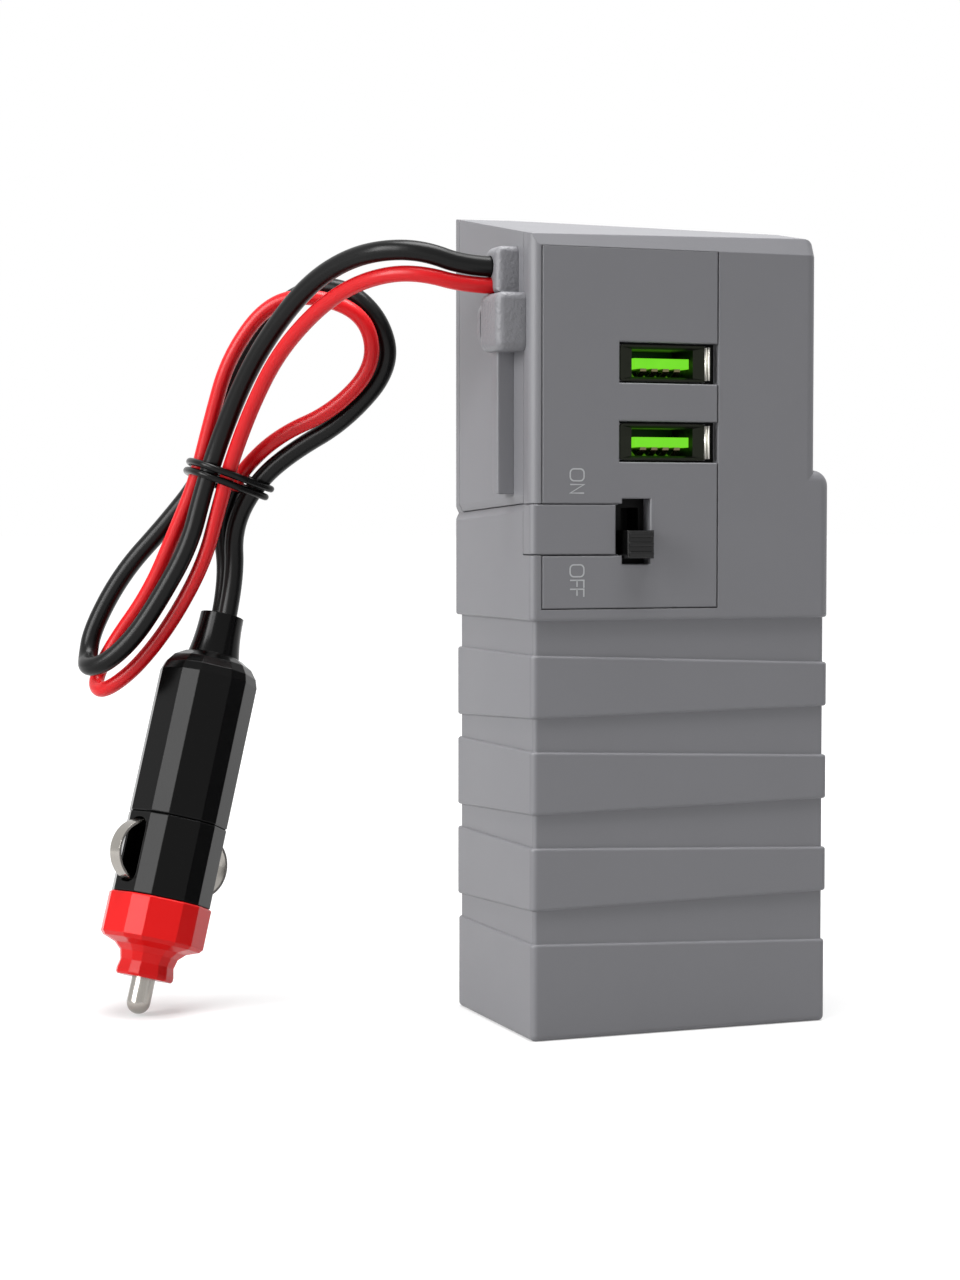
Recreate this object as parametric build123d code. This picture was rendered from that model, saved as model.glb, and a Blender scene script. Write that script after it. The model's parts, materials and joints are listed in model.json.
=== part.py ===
from build123d import *
import math
import os

# Car power inverter with a 12 V plug on a tied pair of wires, in millimetres.
# Origin at the bottom centre of the body, +X right, +Y back, +Z up; the front face looks along -Y.

# Upper block of the housing
block_width = 61.5
block_depth = 40.7
block_bottom = 77.7
front_height = 148.2
top_rise = 7.0
top_side_rise = 1.05
brow_height = 2.0
brow_depth = 0.85
crest_left = 9.1
crest_run = 29.85
crest_fall = 1.9
top_back_radius = 1.2
top_right_radius = 2.4
right_edge_radius = 2.1
left_edge_radius = 2.1
left_back_radius = 1.0
lower_left_radius = 1.2
side_recess = 3.05
ledge_top = 105.7
seam_radius = 0.5

# Grip: a plain core with wedge-shaped bands round it, and a base
grip_width = 61.0
grip_depth = 40.2
core_inset = 0.65
core_radius = 0.8
band_count = 3
band_pitch = 17.75
band_height = 11.65
first_band_top = 71.4
band_top_fall = 2.3
band_bottom_rise = 1.0
band_bottom_fall = 1.8
band_corner_radius = 1.2
band_edge_radius = 0.5
base_top = 18.1
base_inset = 0.15
base_edge_radius = 1.0

# Walls
wall = 3.25
rim_depth = 2.1
floor_thickness = 3.0
skin = 2.0
seam = 0.16

# Front panel and its windows
panel_left_margin = 2.15
panel_right = 6.8
panel_bottom = 79.9
panel_top_margin = 2.1
panel_top_gap = 0.04
panel_chamfer = 0.2
window_left = -13.2
window_height = 7.6

# Bridge beside the switch, wrapped round the left front corner
bridge_bottom = 89.87
bridge_height = 9.17
bridge_right = -13.9
bridge_leg = 3.95

# Side cover on the left, above a V groove
cover_front_margin = 3.95
cover_back_margin = 2.8
groove_height = 3.0
groove_depth = 0.85
groove_fall = 1.6

# Switch
slot_left = -12.6
slot_right = -6.92
slot_bottom = 88.05
slot_height = 12.1
knob_width = 5.4
knob_height = 5.2
knob_proud = 2.5
knob_rise = 1.05
switch_travel = 4.8
knob_ridges = 3
knob_ridge_height = 0.35
stem_width = 3.0
stem_depth = 4.0
switch_body_width = 8.4
switch_body_height = 20.0
switch_body_depth = 7.0
switch_pin = 1.0

# USB sockets, one above the other
port_x = -3.7
port_heights = (125.3, 110.7)
port_width = 12.5
port_height = 5.12
shell_wall = 0.3
flange_width = 17.5
flange_height = 6.7
flange_thickness = 0.5
flange_rim = 0.4
shell_depth = 12.6
tongue_width = 11.1
tongue_height = 1.84
tongue_length = 9.0
insulator_depth = 3.0
contact_count = 4
contact_pitch = 2.3
contact_width = 1.2
contact_thickness = 0.3

# Front board
board_thickness = 1.6
front_board_left = -14.0
front_board_right = 6.0
front_board_bottom = 82.0
front_board_top = 134.0
post_diameter = 5.0
post_places = ((2.0, 88.0), (-3.7, 118.0))

# Main board, its rails and what stands on it
main_board_y = 9.0
main_board_top = 98.0
board_side_gap = 0.4
rail_width = 1.6
rail_thickness = 1.5
rail_gap = 0.1
transformer_width = 22.0
transformer_height = 24.0
transformer_depth = 17.0
transformer_place = (-13.5, 70.0)
core_margin = 3.0
bobbin_foot = 4.0
bobbin_cheek = 2.0
winding_diameter = 15.0
core_leg = 4.5
sink_width = 14.0
sink_height = 66.0
sink_base = 3.0
sink_fin = 1.4
sink_fin_count = 4
sink_fin_height = 14.0
sink_side = 2.6
sink_gap = 0.4
sink_middle = 48.0
transistor_width = 10.0
transistor_length = 15.5
transistor_thickness = 4.5
transistor_pitch = 16.0
transistor_count = 4
transistor_lift = 6.0
lead_width = 0.8
lead_pitch = 2.54
# Diameter, length, distance from the left wall and height of each capacitor
capacitors = ((16.0, 22.0, 10.2, 15.0), (16.0, 22.0, 10.2, 40.0), (12.5, 20.0, 26.0, 15.0))
capacitor_bead = 1.0

# Back cover, its vents and screws
cover_plate_width = 49.0
cover_plate_bottom = 5.0
cover_plate_top = 148.0
cover_seat = 17.5
cover_lip = 1.3
vent_count = 7
vent_pitch = 3.6
vent_width = 24.0
vent_height = 1.8
vent_bottom = 112.0
screw_inset = 3.7
screw_rise = 5.0
screw_shank = 2.5
screw_head = 4.6
screw_head_height = 1.4
screw_floor = 1.0
screw_length = 5.5
boss_diameter = 7.0
boss_length = 6.0
screw_play = 0.2

# Outlet on the recessed right side
outlet_width = 25.0
outlet_height = 30.0
outlet_centre = 125.0
outlet_depth = 14.0
outlet_corner = 3.0
outlet_flange = 1.6
outlet_flange_height = 1.0
blade_spacing = 12.7
blade_slot = 1.8
blade_height = 7.4
blade_lift = 3.6
ground_diameter = 5.0
ground_drop = 11.9
outlet_floor = 2.0
spring_thickness = 0.5
spring_tail = 3.0

# Strain relief and cord clip on the left side
relief_front = -14.0
relief_back = -7.3
relief_bottom = 137.85
relief_top = 146.5
relief_proud = 4.3
relief_radius = 1.4
relief_front_radius = 1.1
relief_back_radius = 2.1
hole_play = 0.1
clip_front = -17.7
clip_back = -7.9
clip_bottom = 127.2
clip_proud = 5.6
clip_radius = 1.6
clip_corner_radius = 1.3
clip_slit = 0.9
jaw_thickness = 1.4
jaw_proud = 5.0
jaw_root = 2.0
bar_front = -11.55
bar_back = -7.4
bar_bottom = 101.0
bar_proud = 3.3
bar_step = 0.6
bar_step_width = 2.0
bar_radius = 1.6
bar_edge_radius = 0.4

# 12 V plug, built upright on its own axis from the tip and then leaned over
plug_tip = (-92.7, 31.3, 0.45)
plug_tilt = 17.2
plug_heading = 29.3
contact_heading = 203.5
pin_diameter = 4.6
pin_length = 7.0
pin_collar = 7.5
pin_collar_height = 1.5
pin_travel = 2.0
cap_tip_diameter = 11.3
cap_waist_diameter = 10.6
cap_diameter = 20.3
cap_shoulder = 14.0
cap_end = 22.4
cap_floor = 4.3
spigot_diameter = 16.0
spigot_length = 6.9
thread_play = 0.1
plug_diameter = 19.5
barrel_end = 38.4
sleeve_end = 67.2
shoulder_height = 4.6
shoulder_fall = 1.1
shoulder_turn = 3.6
neck_flare = 1.2
plug_length = 80.2
neck_base_diameter = 10.4
neck_top_diameter = 8.7
facet_angle = 38.0
parting_chamfer = 0.25
bore_diameter = 7.0
bore_end = 57.2
fuse_diameter = 6.35
fuse_length = 31.8
fuse_cap = 5.5
spring_wire = 0.6
spring_turns = 6
terminal_thickness = 0.8
terminal_tail = 6.0
terminal_tail_diameter = 2.0
contact_slot_length = 12.9
contact_slot_width = 5.3
contact_slot_radius = 2.2
contact_slot_centre = 30.75
contact_slot_floor = 4.6
strip_width = 3.0
strip_thickness = 0.5
strip_foot = 7.85
strip_reach = 13.5
strip_play = 0.3

# Wires: points on the route of each, from the strain relief to the plug
black_diameter = 3.8
red_diameter = 3.0
sleeve_diameter = 3.5
sleeve_bore = 3.04
black_route = [
    (-33.0, -10.3, 142.9), (-40.0, -10.3, 142.9), (-47.2, -8.4, 145.6), (-53.5, -4.1, 146.0),
    (-58.3, 3.6, 144.8), (-62.8, 11.7, 141.0), (-66.6, 20.0, 134.5), (-70.4, 28.4, 125.5),
    (-74.0, 35.1, 113.3), (-77.2, 37.9, 101.8), (-79.7, 38.8, 91.2), (-85.6, 41.1, 80.0),
    (-90.2, 42.8, 72.8), (-95.0, 45.7, 67.9), (-97.8, 49.8, 66.9), (-96.8, 54.8, 68.2),
    (-95.3, 57.0, 74.3), (-89.6, 54.3, 85.8), (-81.5, 50.0, 95.6), (-74.8, 45.6, 105.2),
    (-72.4, 44.1, 116.9), (-68.2, 40.4, 129.1), (-60.9, 35.0, 140.2), (-52.1, 28.8, 142.8),
    (-45.0, 24.2, 136.1), (-42.5, 24.3, 126.3), (-50.4, 29.4, 115.9), (-60.0, 34.6, 109.7),
    (-66.2, 38.0, 103.7), (-70.1, 41.7, 94.9), (-69.55, 42.0, 84.4), (-71.95, 40.65, 75.4),
]
red_route = [
    (-33.0, -10.3, 139.4), (-40.0, -10.3, 139.4), (-47.2, -8.4, 141.4), (-52.8, -4.1, 141.6),
    (-57.7, 3.9, 139.8), (-62.1, 11.9, 135.5), (-66.8, 20.7, 127.9), (-69.9, 28.2, 118.1),
    (-72.3, 34.5, 107.6), (-74.3, 37.4, 98.0), (-76.6, 39.3, 87.9), (-82.2, 42.4, 76.3),
    (-88.1, 45.2, 67.9), (-92.6, 48.0, 63.5), (-95.2, 51.9, 61.9), (-95.0, 56.1, 64.0),
    (-91.8, 55.4, 70.9), (-85.2, 49.5, 81.9), (-81.0, 45.1, 94.0), (-77.7, 41.8, 103.6),
    (-75.3, 39.3, 115.3), (-72.5, 35.6, 128.3), (-65.5, 31.0, 139.0), (-57.0, 25.8, 140.0),
    (-48.5, 21.6, 135.8), (-46.6, 22.1, 126.3), (-53.5, 27.4, 117.6), (-62.9, 34.5, 112.9),
    (-68.9, 41.7, 105.3), (-70.3, 43.9, 100.1), (-71.4, 45.9, 95.0), (-70.05, 45.85, 84.0),
    (-72.55, 44.45, 75.0),
]
sleeve_start = 28

# Tie wound round the bundle, on axes across the strands to the side and to the back
tie_diameter = 1.4
tie_pitch = 1.85
tie_turn_count = 2
tie_play = 0.15
tie_fill = 0.95
sharp_turn = 75.0
tie_centre = (-72.1, 40.3, 104.6)
tie_side = (0.862, -0.342, -0.374)
tie_back = (0.3515, 0.9351, -0.0445)
# Strands on the outside of the bundle in the tie's order: diameter, place, and drift for each mm up
tie_strands = [
    (black_diameter, (-4.99, 4.00), (0.05, -0.13)),
    (red_diameter, (-5.39, -1.02), (-0.09, -0.18)),
    (black_diameter, (-2.73, -4.64), (-0.06, -0.16)),
    (red_diameter, (0.99, -4.88), (-0.07, -0.29)),
    (black_diameter, (6.21, 0.41), (0.25, -0.22)),
    (sleeve_diameter, (2.40, 2.78), (0.14, -0.38)),
]

left = -block_width / 2
right = block_width / 2
front = -block_depth / 2
back = block_depth / 2
panel_back = front + skin
cover_inner = left + skin
back_height = front_height + top_rise
recess_side = right - side_recess
inner_front = front + wall
inner_back = cover_seat - rim_depth
inner_left = left + wall
inner_right = right - wall
inner_recess = recess_side - wall + 0.1
bridge_top = bridge_bottom + bridge_height
groove_front = bridge_top + seam
panel_left = left + panel_left_margin
panel_top = front_height - panel_top_margin


# Small helpers

def block(x0, x1, y0, y1, z0, z1):
    """Box between two opposite corners."""
    return Pos((x0 + x1) / 2, (y0 + y1) / 2, (z0 + z1) / 2) * Box(x1 - x0, y1 - y0, z1 - z0)


def rounded_block(x0, x1, y0, y1, z0, z1, radius):
    """Upright box with rounded vertical edges."""
    profile = Pos((x0 + x1) / 2, (y0 + y1) / 2, z0) * RectangleRounded(x1 - x0, y1 - y0, radius)
    return extrude(profile, z1 - z0)


def plate(x0, x1, z0, z1, y0, y1, radius):
    """Plate facing the front, its four corners rounded in the front view."""
    profile = Plane.XZ.offset(
        -y1) * Pos((x0 + x1) / 2, (z0 + z1) / 2) * RectangleRounded(x1 - x0, z1 - z0, radius)
    return extrude(profile, y1 - y0)


def rod_y(x, z, y0, y1, diameter):
    """Round bar along Y."""
    return extrude(Plane.XZ.offset(-y1) * Pos(x, z) * Circle(diameter / 2), y1 - y0)


def edges_where(part, test):
    """Edges of a part whose centre and direction pass a test."""
    return [edge for edge in part.edges() if test(edge.center(), edge.tangent_at(0.5))]


def round_edges(part, radius, test):
    """Fillet the edges that pass a test."""
    return fillet(edges_where(part, test), radius)


def fuse_all(parts):
    """One shape out of several that touch or overlap."""
    whole = parts[0]
    for part in parts[1:]:
        whole = whole + part
    return whole


# Outer form of the body

def top_height(x, y):
    """Height of the top's front facet above a place in plan."""
    return front_height + top_rise * (
        y - front) / block_depth + top_side_rise * (x - left) / (recess_side - left)


def on_top(x, y):
    """Point on the top's front facet."""
    return Vector(x, y, top_height(x, y))


def top_planes():
    """Brow over the panel, front facet, and back facet behind a crest that ends at the right side."""
    brow = Plane(origin=(0, front, front_height - brow_height), z_dir=(0, -brow_height, brow_depth))
    corner = on_top(left, front)
    facet = Plane(
        origin=corner, z_dir=(on_top(recess_side, front) - corner).cross(on_top(left, back) - corner))
    start = on_top(left + crest_left, back)
    end = on_top(recess_side, back - crest_run)
    low = Vector(recess_side, back, start.Z - crest_fall)
    behind = Plane(origin=start, z_dir=(end - start).cross(low - start))
    return [brow, facet, behind]


def under(plane):
    """Plain upper block below one plane of the top."""
    body = block(left, recess_side, front, back, block_bottom, back_height + top_side_rise + 1)
    return split(body, bisect_by=plane, keep=Keep.BOTTOM)


def facet_block(plane):
    """Upper block below one facet, rounded along its right and back edges."""
    body = round_edges(
        under(plane), top_right_radius,
        lambda c, t: abs(t.Y) > 0.9 and c.X > recess_side - 0.01 and c.Z > front_height)
    return round_edges(
        body, top_back_radius, lambda c, t: abs(t.X) > 0.9 and c.Y > back - 0.01 and c.Z > front_height)


def tower():
    """Upper block up to its faceted top, as wide as it is above the ledge."""
    brow, facet, behind = top_planes()
    body = round_edges(under(brow), right_edge_radius, lambda c, t: abs(t.Z) > 0.9 and c.X > 0 and c.Y < 0)
    plan = rounded_block(left, right, front, back, block_bottom, back_height + 2, left_edge_radius)
    plan += rounded_block(left, right, 0, back, block_bottom, back_height + 2, left_back_radius)
    plan += block(0, right, front, back, block_bottom, back_height + 2)
    return body & facet_block(facet) & facet_block(behind) & plan


def shoulder():
    """Right half of the upper block below the ledge, with its quarter-round top."""
    body = block(0, right, front, back, block_bottom, ledge_top)
    body = round_edges(
        body, side_recess, lambda c, t: abs(t.Y) > 0.9 and c.X > 1 and c.Z > ledge_top - 0.1)
    for side in (-1, 1):
        body = round_edges(
            body, right_edge_radius, lambda c, t: abs(t.Z) > 0.9 and c.X > right - 0.1 and c.Y * side > 0)
    return body


def upper_form():
    """Whole upper block."""
    lower_left = rounded_block(left, 0, front, back, block_bottom, bridge_top + seam, lower_left_radius)
    body = tower() + shoulder() + lower_left
    return round_edges(body, seam_radius, lambda c, t: abs(c.Z - block_bottom) < 0.01)


def tilted_plane(height, fall_right, fall_back):
    """Plane at a height at the front left corner, falling to the right and to the back."""
    return Plane(
        origin=(-grip_width / 2, -grip_depth / 2, height),
        z_dir=(fall_right / grip_width, fall_back / grip_depth, 1))


def grip_prism(inset, z0, z1, radius):
    """Prism with the grip's plan, drawn in by an inset."""
    x = grip_width / 2 - inset
    y = grip_depth / 2 - inset
    return rounded_block(-x, x, -y, y, z0, z1, radius)


def band(index):
    """One wedge-shaped band round the grip."""
    top = first_band_top - index * band_pitch
    bottom = top - band_height
    body = grip_prism(0, bottom - band_pitch / 3, top + 1, band_corner_radius)
    body = split(body, bisect_by=tilted_plane(top, band_top_fall, 0), keep=Keep.BOTTOM)
    body = split(body, bisect_by=tilted_plane(bottom, -band_bottom_rise, band_bottom_fall), keep=Keep.TOP)
    return round_edges(body, band_edge_radius, lambda c, t: abs(t.Z) < 0.9)


def base():
    """Foot of the grip, its top in line with the bands' tops."""
    body = grip_prism(base_inset, 0, base_top + 1, band_corner_radius)
    body = split(body, bisect_by=tilted_plane(base_top, band_top_fall, 0), keep=Keep.BOTTOM)
    body = round_edges(body, base_edge_radius, lambda c, t: abs(c.Z) < 0.01)
    return round_edges(body, band_edge_radius, lambda c, t: abs(t.Z) < 0.9 and c.Z > base_edge_radius * 2)


def side_groove():
    """V groove in the left side under the side cover, falling to the back."""
    half = groove_height / 2
    mouth = half * (1 + 1 / groove_depth)
    profile = Polygon((-1, -mouth), (-1, mouth), (groove_depth, 0), align=None)
    length = block_depth - bridge_leg + 1
    tilt = math.degrees(math.atan2(groove_fall, length))
    cutter = extrude(Plane.XZ * profile, length, dir=(0, 1, 0))
    return Pos(left, front + bridge_leg, groove_front) * Rot(-tilt, 0, 0) * cutter


def outer_form():
    """Outside of the body before it is parted into its pieces."""
    core = grip_prism(core_inset, base_edge_radius, block_bottom + 1, core_radius)
    form = fuse_all([core, base()] + [band(index) for index in range(band_count)])
    return form + upper_form() - side_groove()


# Regions that part the outer form

def panel_region(gap):
    """Space of the front panel, made larger by a gap."""
    top_gap = min(gap, panel_top_gap)
    plain = block(
        panel_left - gap, panel_right + gap, front - 1, panel_back, panel_bottom - gap,
        panel_top + top_gap)
    return plain - bridge_notch(seam - gap)


def bridge_notch(gap):
    """Space that the panel leaves for the bridge."""
    return block(
        left - 1, slot_left, front - 2, panel_back + 1,
        bridge_bottom - gap - seam / 2, bridge_top + gap)


def bridge_region(gap):
    """Space of the bridge: a leg on the front and one on the left side."""
    z0 = bridge_bottom - gap
    z1 = bridge_top + gap
    on_front = block(left - 1, bridge_right + gap, front - 1, panel_back, z0, z1)
    on_side = block(left - 1, cover_inner, front - 1, front + bridge_leg + gap, z0, z1)
    return on_front + on_side


def cover_region(gap):
    """Space of the side cover, from the V groove to the top."""
    front_edge = front + cover_front_margin - gap
    back_edge = back - cover_back_margin + gap
    fall = groove_fall / (block_depth - bridge_leg + 1)
    foot = groove_front + seam - gap
    outline = Polygon(
        (front_edge, foot), (back_edge, foot - fall * (back_edge - front_edge)),
        (back_edge, back_height + 1), (front_edge, back_height + 1), align=None)
    return extrude(Plane.YZ.offset(left - 1) * outline, skin + 1)


def window(port_height_z):
    """Window in the panel in front of one USB socket, open to the panel's right edge."""
    half = window_height / 2
    return block(
        window_left, panel_right + 1, front - 2, panel_back + 1, port_height_z - half,
        port_height_z + half)


def switch_slot(y0, y1):
    """Slot that the knob slides in."""
    return block(slot_left, slot_right, y0, y1, slot_bottom, slot_bottom + slot_height)


def back_region(gap):
    """Space of the inset back cover."""
    x = cover_plate_width / 2 + gap
    return block(-x, x, cover_seat, back + 1, cover_plate_bottom - gap, cover_plate_top + gap)


def screw_places():
    """Front-view places of the back cover's screws."""
    x = cover_plate_width / 2 - screw_inset
    return [
        (side * x, z) for side in (-1, 1)
        for z in (cover_plate_bottom + screw_rise, cover_plate_top - screw_rise)]


# Housing and what closes it

def cavity():
    """Hollow of the housing, following the sloped top and the recessed side."""
    low = block(inner_left, inner_right, inner_front, inner_back, floor_thickness, ledge_top - wall)
    slope = (top_rise - crest_fall) / block_depth
    roof = front_height - wall
    outline = Polygon(
        (inner_front, block_bottom), (inner_back, block_bottom),
        (inner_back, roof + slope * (
            inner_back - front)), (inner_front, roof + slope * (inner_front - front)),
        align=None)
    high = extrude(Plane.YZ.offset(inner_left) * outline, inner_recess - inner_left)
    lip = cover_plate_width / 2 - cover_lip
    mouth = block(
        -lip, lip, inner_back - 1, back, cover_plate_bottom + cover_lip, cover_plate_top - cover_lip)
    return low + high + mouth


def rails():
    """Ribs on both side walls that hold the main board."""
    ribs = []
    for wall_x, direction in ((inner_left, 1), (inner_right, -1)):
        x0, x1 = sorted((wall_x - direction, wall_x + direction * rail_width))
        near = main_board_y - rail_gap
        far = main_board_y + board_thickness + rail_gap
        for y0, y1 in ((near - rail_thickness, near), (far, far + rail_thickness)):
            ribs.append(block(x0, x1, y0, y1, floor_thickness - 1, main_board_top))
    return ribs


def bosses():
    """Screw bosses behind the back cover's corners, each with a rib to the side wall."""
    solids = []
    for x, z in screw_places():
        wall_x = (inner_recess if z > ledge_top else inner_right) if x > 0 else inner_left
        solids.append(rod_y(x, z, cover_seat - boss_length, cover_seat, boss_diameter))
        x0, x1 = sorted((x, wall_x + math.copysign(0.5, x)))
        solids.append(block(x0, x1, cover_seat - boss_length, cover_seat, z - 1, z + 1))
    return solids


def board_posts():
    """Posts from the front wall to the front board."""
    return [rod_y(x, z, inner_front - 1, front_board_y(), post_diameter) for x, z in post_places]


def outlet_hole(play):
    """Opening in the recessed right wall for the outlet."""
    half = outlet_width / 2 + play
    tall = outlet_height / 2 + play
    profile = Plane.YZ.offset(inner_recess - 1) * Pos(0, outlet_centre) * RectangleRounded(
        2 * half, 2 * tall, outlet_corner)
    return extrude(profile, recess_side - inner_recess + 2)


def shell_hole(port_height_z):
    """Opening in the front wall for one USB socket's shell."""
    x = port_width / 2 + shell_wall + seam
    z = port_height / 2 + shell_wall + seam
    return block(port_x - x, port_x + x, front, inner_front + 1, port_height_z - z, port_height_z + z)


def housing(form):
    """Main moulding: the form, hollowed, with a seat for each piece that closes it."""
    body = form - cavity()
    body = fuse_all([body] + rails() + bosses() + board_posts())
    body = body - panel_region(seam) - bridge_region(seam) - cover_region(seam) - back_region(seam)
    body = body - bridge_notch(
        seam).intersect(block(left + skin, slot_left, front - 1, panel_back, 0, back_height))
    body = body - switch_slot(front - 1, inner_front + 1) - outlet_hole(seam)
    body = body - block(bridge_right, slot_left, front - 1, inner_front + 1, bridge_bottom, bridge_top)
    for z in port_heights:
        body = body - shell_hole(z)
    for x, z in screw_places():
        body = body - rod_y(
            x, z, cover_seat - boss_length + 1, cover_seat + 1, screw_shank + screw_play / 2)
    return body


def front_panel(form):
    """Plate let into the front, with the windows and the switch slot."""
    body = form & panel_region(0)
    body = body - switch_slot(front - 1, panel_back + 1)
    for z in port_heights:
        body = body - window(z)
    face = body.faces().sort_by(Axis.Y)[0]
    return chamfer([edge for edge in face.edges() if edge.center().Z < panel_top - 0.01], panel_chamfer)


def switch_bridge(form):
    """Bridge between the left front corner and the switch slot."""
    body = form & bridge_region(0)
    face = body.faces().sort_by(Axis.Y)[0]
    return chamfer([e for e in face.edges(
        ) if abs(e.tangent_at(0.5).Z) < 0.9 or e.center().X > left / 2], panel_chamfer)


def side_cover(form):
    """Cover let into the left side above the groove."""
    return form & cover_region(0)


def back_cover(form):
    """Inset back cover with vents and countersunk screw seats; the bands run on over it."""
    body = form & back_region(0)
    for index in range(vent_count):
        z = vent_bottom + index * vent_pitch
        body = body - plate(
            -vent_width / 2, vent_width / 2, z, z + vent_height, cover_seat - 1, back + 1,
            vent_height / 2 - 0.01)
    for x, z in screw_places():
        body = body - rod_y(x, z, cover_seat - 1, back + 1, screw_shank + 2 * screw_play)
        body = body - rod_y(x, z, cover_seat + screw_floor, back + 1, screw_head + 2 * screw_play)
    return body


def cover_screws():
    """The back cover's screws, each with a cross recess."""
    screws = []
    head_y = cover_seat + screw_floor
    for x, z in screw_places():
        head = rod_y(x, z, head_y, head_y + screw_head_height, screw_head)
        head = round_edges(head, 0.4, lambda c, t: c.Y > head_y + 1)
        screw = head + rod_y(x, z, head_y - screw_length, head_y, screw_shank)
        for wide, tall in ((2.4, 0.6), (0.6, 2.4)):
            screw = screw - block(
                x - wide / 2, x + wide / 2, head_y + screw_head_height - 0.8, back + 1,
                z - tall / 2, z + tall / 2)
        screws.append(screw)
    return Compound(screws)


# Switch

def knob_bottom():
    """Underside of the knob in its lower place."""
    return slot_bottom + knob_rise


def switch_knob():
    """Sliding knob in its lower place, with cross ridges on its face and a stem into the switch."""
    centre = (slot_left + slot_right) / 2
    z0 = knob_bottom()
    tip = front - knob_proud
    knob = block(
        centre - knob_width / 2, centre + knob_width / 2, tip + knob_ridge_height, inner_front - 0.4,
        z0, z0 + knob_height)
    knob = round_edges(knob, 0.4, lambda c, t: c.Y < front)
    for index in range(knob_ridges):
        z = z0 + knob_height * (index + 0.5) / knob_ridges
        ridge = block(
            centre - knob_width / 2 + 0.3, centre + knob_width / 2 - 0.3, tip, tip + 1, z - 0.45,
            z + 0.45)
        knob += round_edges(ridge, 0.3, lambda c, t: abs(t.X) > 0.9 and c.Y < tip + 0.1)
    middle = z0 + knob_height / 2
    stem = block(
        centre - stem_width / 2, centre + stem_width / 2, front, inner_front + stem_depth,
        middle - stem_width / 2, middle + stem_width / 2)
    return knob + stem


def switch_body():
    """Slide switch behind the slot, with the channel that its stem runs in and three pins."""
    centre = (slot_left + slot_right) / 2
    middle = knob_bottom() + knob_height / 2 + switch_travel / 2
    y0 = inner_front + 0.1
    y1 = y0 + switch_body_depth
    half = switch_body_height / 2
    body = block(
        centre - switch_body_width / 2, centre + switch_body_width / 2, y0, y1, middle - half,
        middle + half)
    reach = switch_travel / 2 + stem_width / 2 + 0.5
    body = body - block(
        centre - stem_width / 2 - 0.25, centre + stem_width / 2 + 0.25, y0 - 1,
        y0 + stem_depth + 1, middle - reach, middle + reach)
    for offset in (-1, 0, 1):
        z = middle + offset * half * 0.6
        body += block(
            centre - switch_pin / 2, centre + switch_pin / 2, y1, front_board_y(
                ), z - switch_pin / 2, z + switch_pin / 2)
    return body


# USB sockets and their board

def flange_y():
    """Front of a socket's flange, which lies on the front wall behind the panel."""
    return panel_back - flange_thickness


def front_board_y():
    """Front face of the front board, at the back of the sockets."""
    return flange_y() + shell_depth


def socket_funnel(z):
    """Funnel through the flange that narrows to the socket."""
    mouth = Plane.XZ.offset(-flange_y()) * Pos(port_x, z) * Rectangle(
        flange_width - 2 * flange_rim, flange_height - 2 * flange_rim)
    throat = Plane.XZ.offset(-panel_back) * Pos(port_x, z) * Rectangle(port_width, port_height)
    return loft([mouth, throat])


def usb_shell(z):
    """Socket shell with a flared flange round its mouth."""
    half_x = port_width / 2
    half_z = port_height / 2
    y0 = flange_y()
    outer = block(
        port_x - half_x - shell_wall, port_x + half_x + shell_wall, y0, front_board_y(),
        z - half_z - shell_wall, z + half_z + shell_wall)
    flange = plate(
        port_x - flange_width / 2, port_x + flange_width / 2, z - flange_height / 2, z + flange_height / 2,
        y0, panel_back, 0.6)
    shell = outer + flange - socket_funnel(z)
    return shell - block(
        port_x - half_x, port_x + half_x, y0 - 1, front_board_y() + 1, z - half_z, z + half_z)


def usb_tongue(z):
    """Tongue with the block that closes the back of the socket."""
    y1 = front_board_y()
    y0 = y1 - insulator_depth
    body = block(
        port_x - port_width / 2, port_x + port_width / 2, y0, y1, z - port_height / 2,
        z + port_height / 2)
    tongue = block(
        port_x - tongue_width / 2, port_x + tongue_width / 2, y0 - tongue_length, y0,
        z - tongue_height / 2, z + tongue_height / 2)
    return body + round_edges(tongue, 0.3, lambda c, t: c.Y < y0 - tongue_length + 0.01)


def usb_contacts():
    """Contact strips under the tongues."""
    strips = []
    y1 = front_board_y() - insulator_depth
    for port_z in port_heights:
        z1 = port_z - tongue_height / 2
        for index in range(contact_count):
            x = port_x + (index - (contact_count - 1) / 2) * contact_pitch
            strips.append(block(
                x - contact_width / 2, x + contact_width / 2, y1 - tongue_length + 0.8, y1,
                z1 - contact_thickness, z1))
    return Compound(strips)


def front_board():
    """Small board that carries the sockets and the switch."""
    y0 = front_board_y()
    return block(
        front_board_left, front_board_right, y0, y0 + board_thickness, front_board_bottom,
        front_board_top)


# Main board and what stands on it

def main_board():
    """Board in the housing's rails, standing on the floor."""
    return block(
        inner_left + board_side_gap, inner_right - board_side_gap, main_board_y,
        main_board_y + board_thickness,
        floor_thickness, main_board_top)


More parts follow.
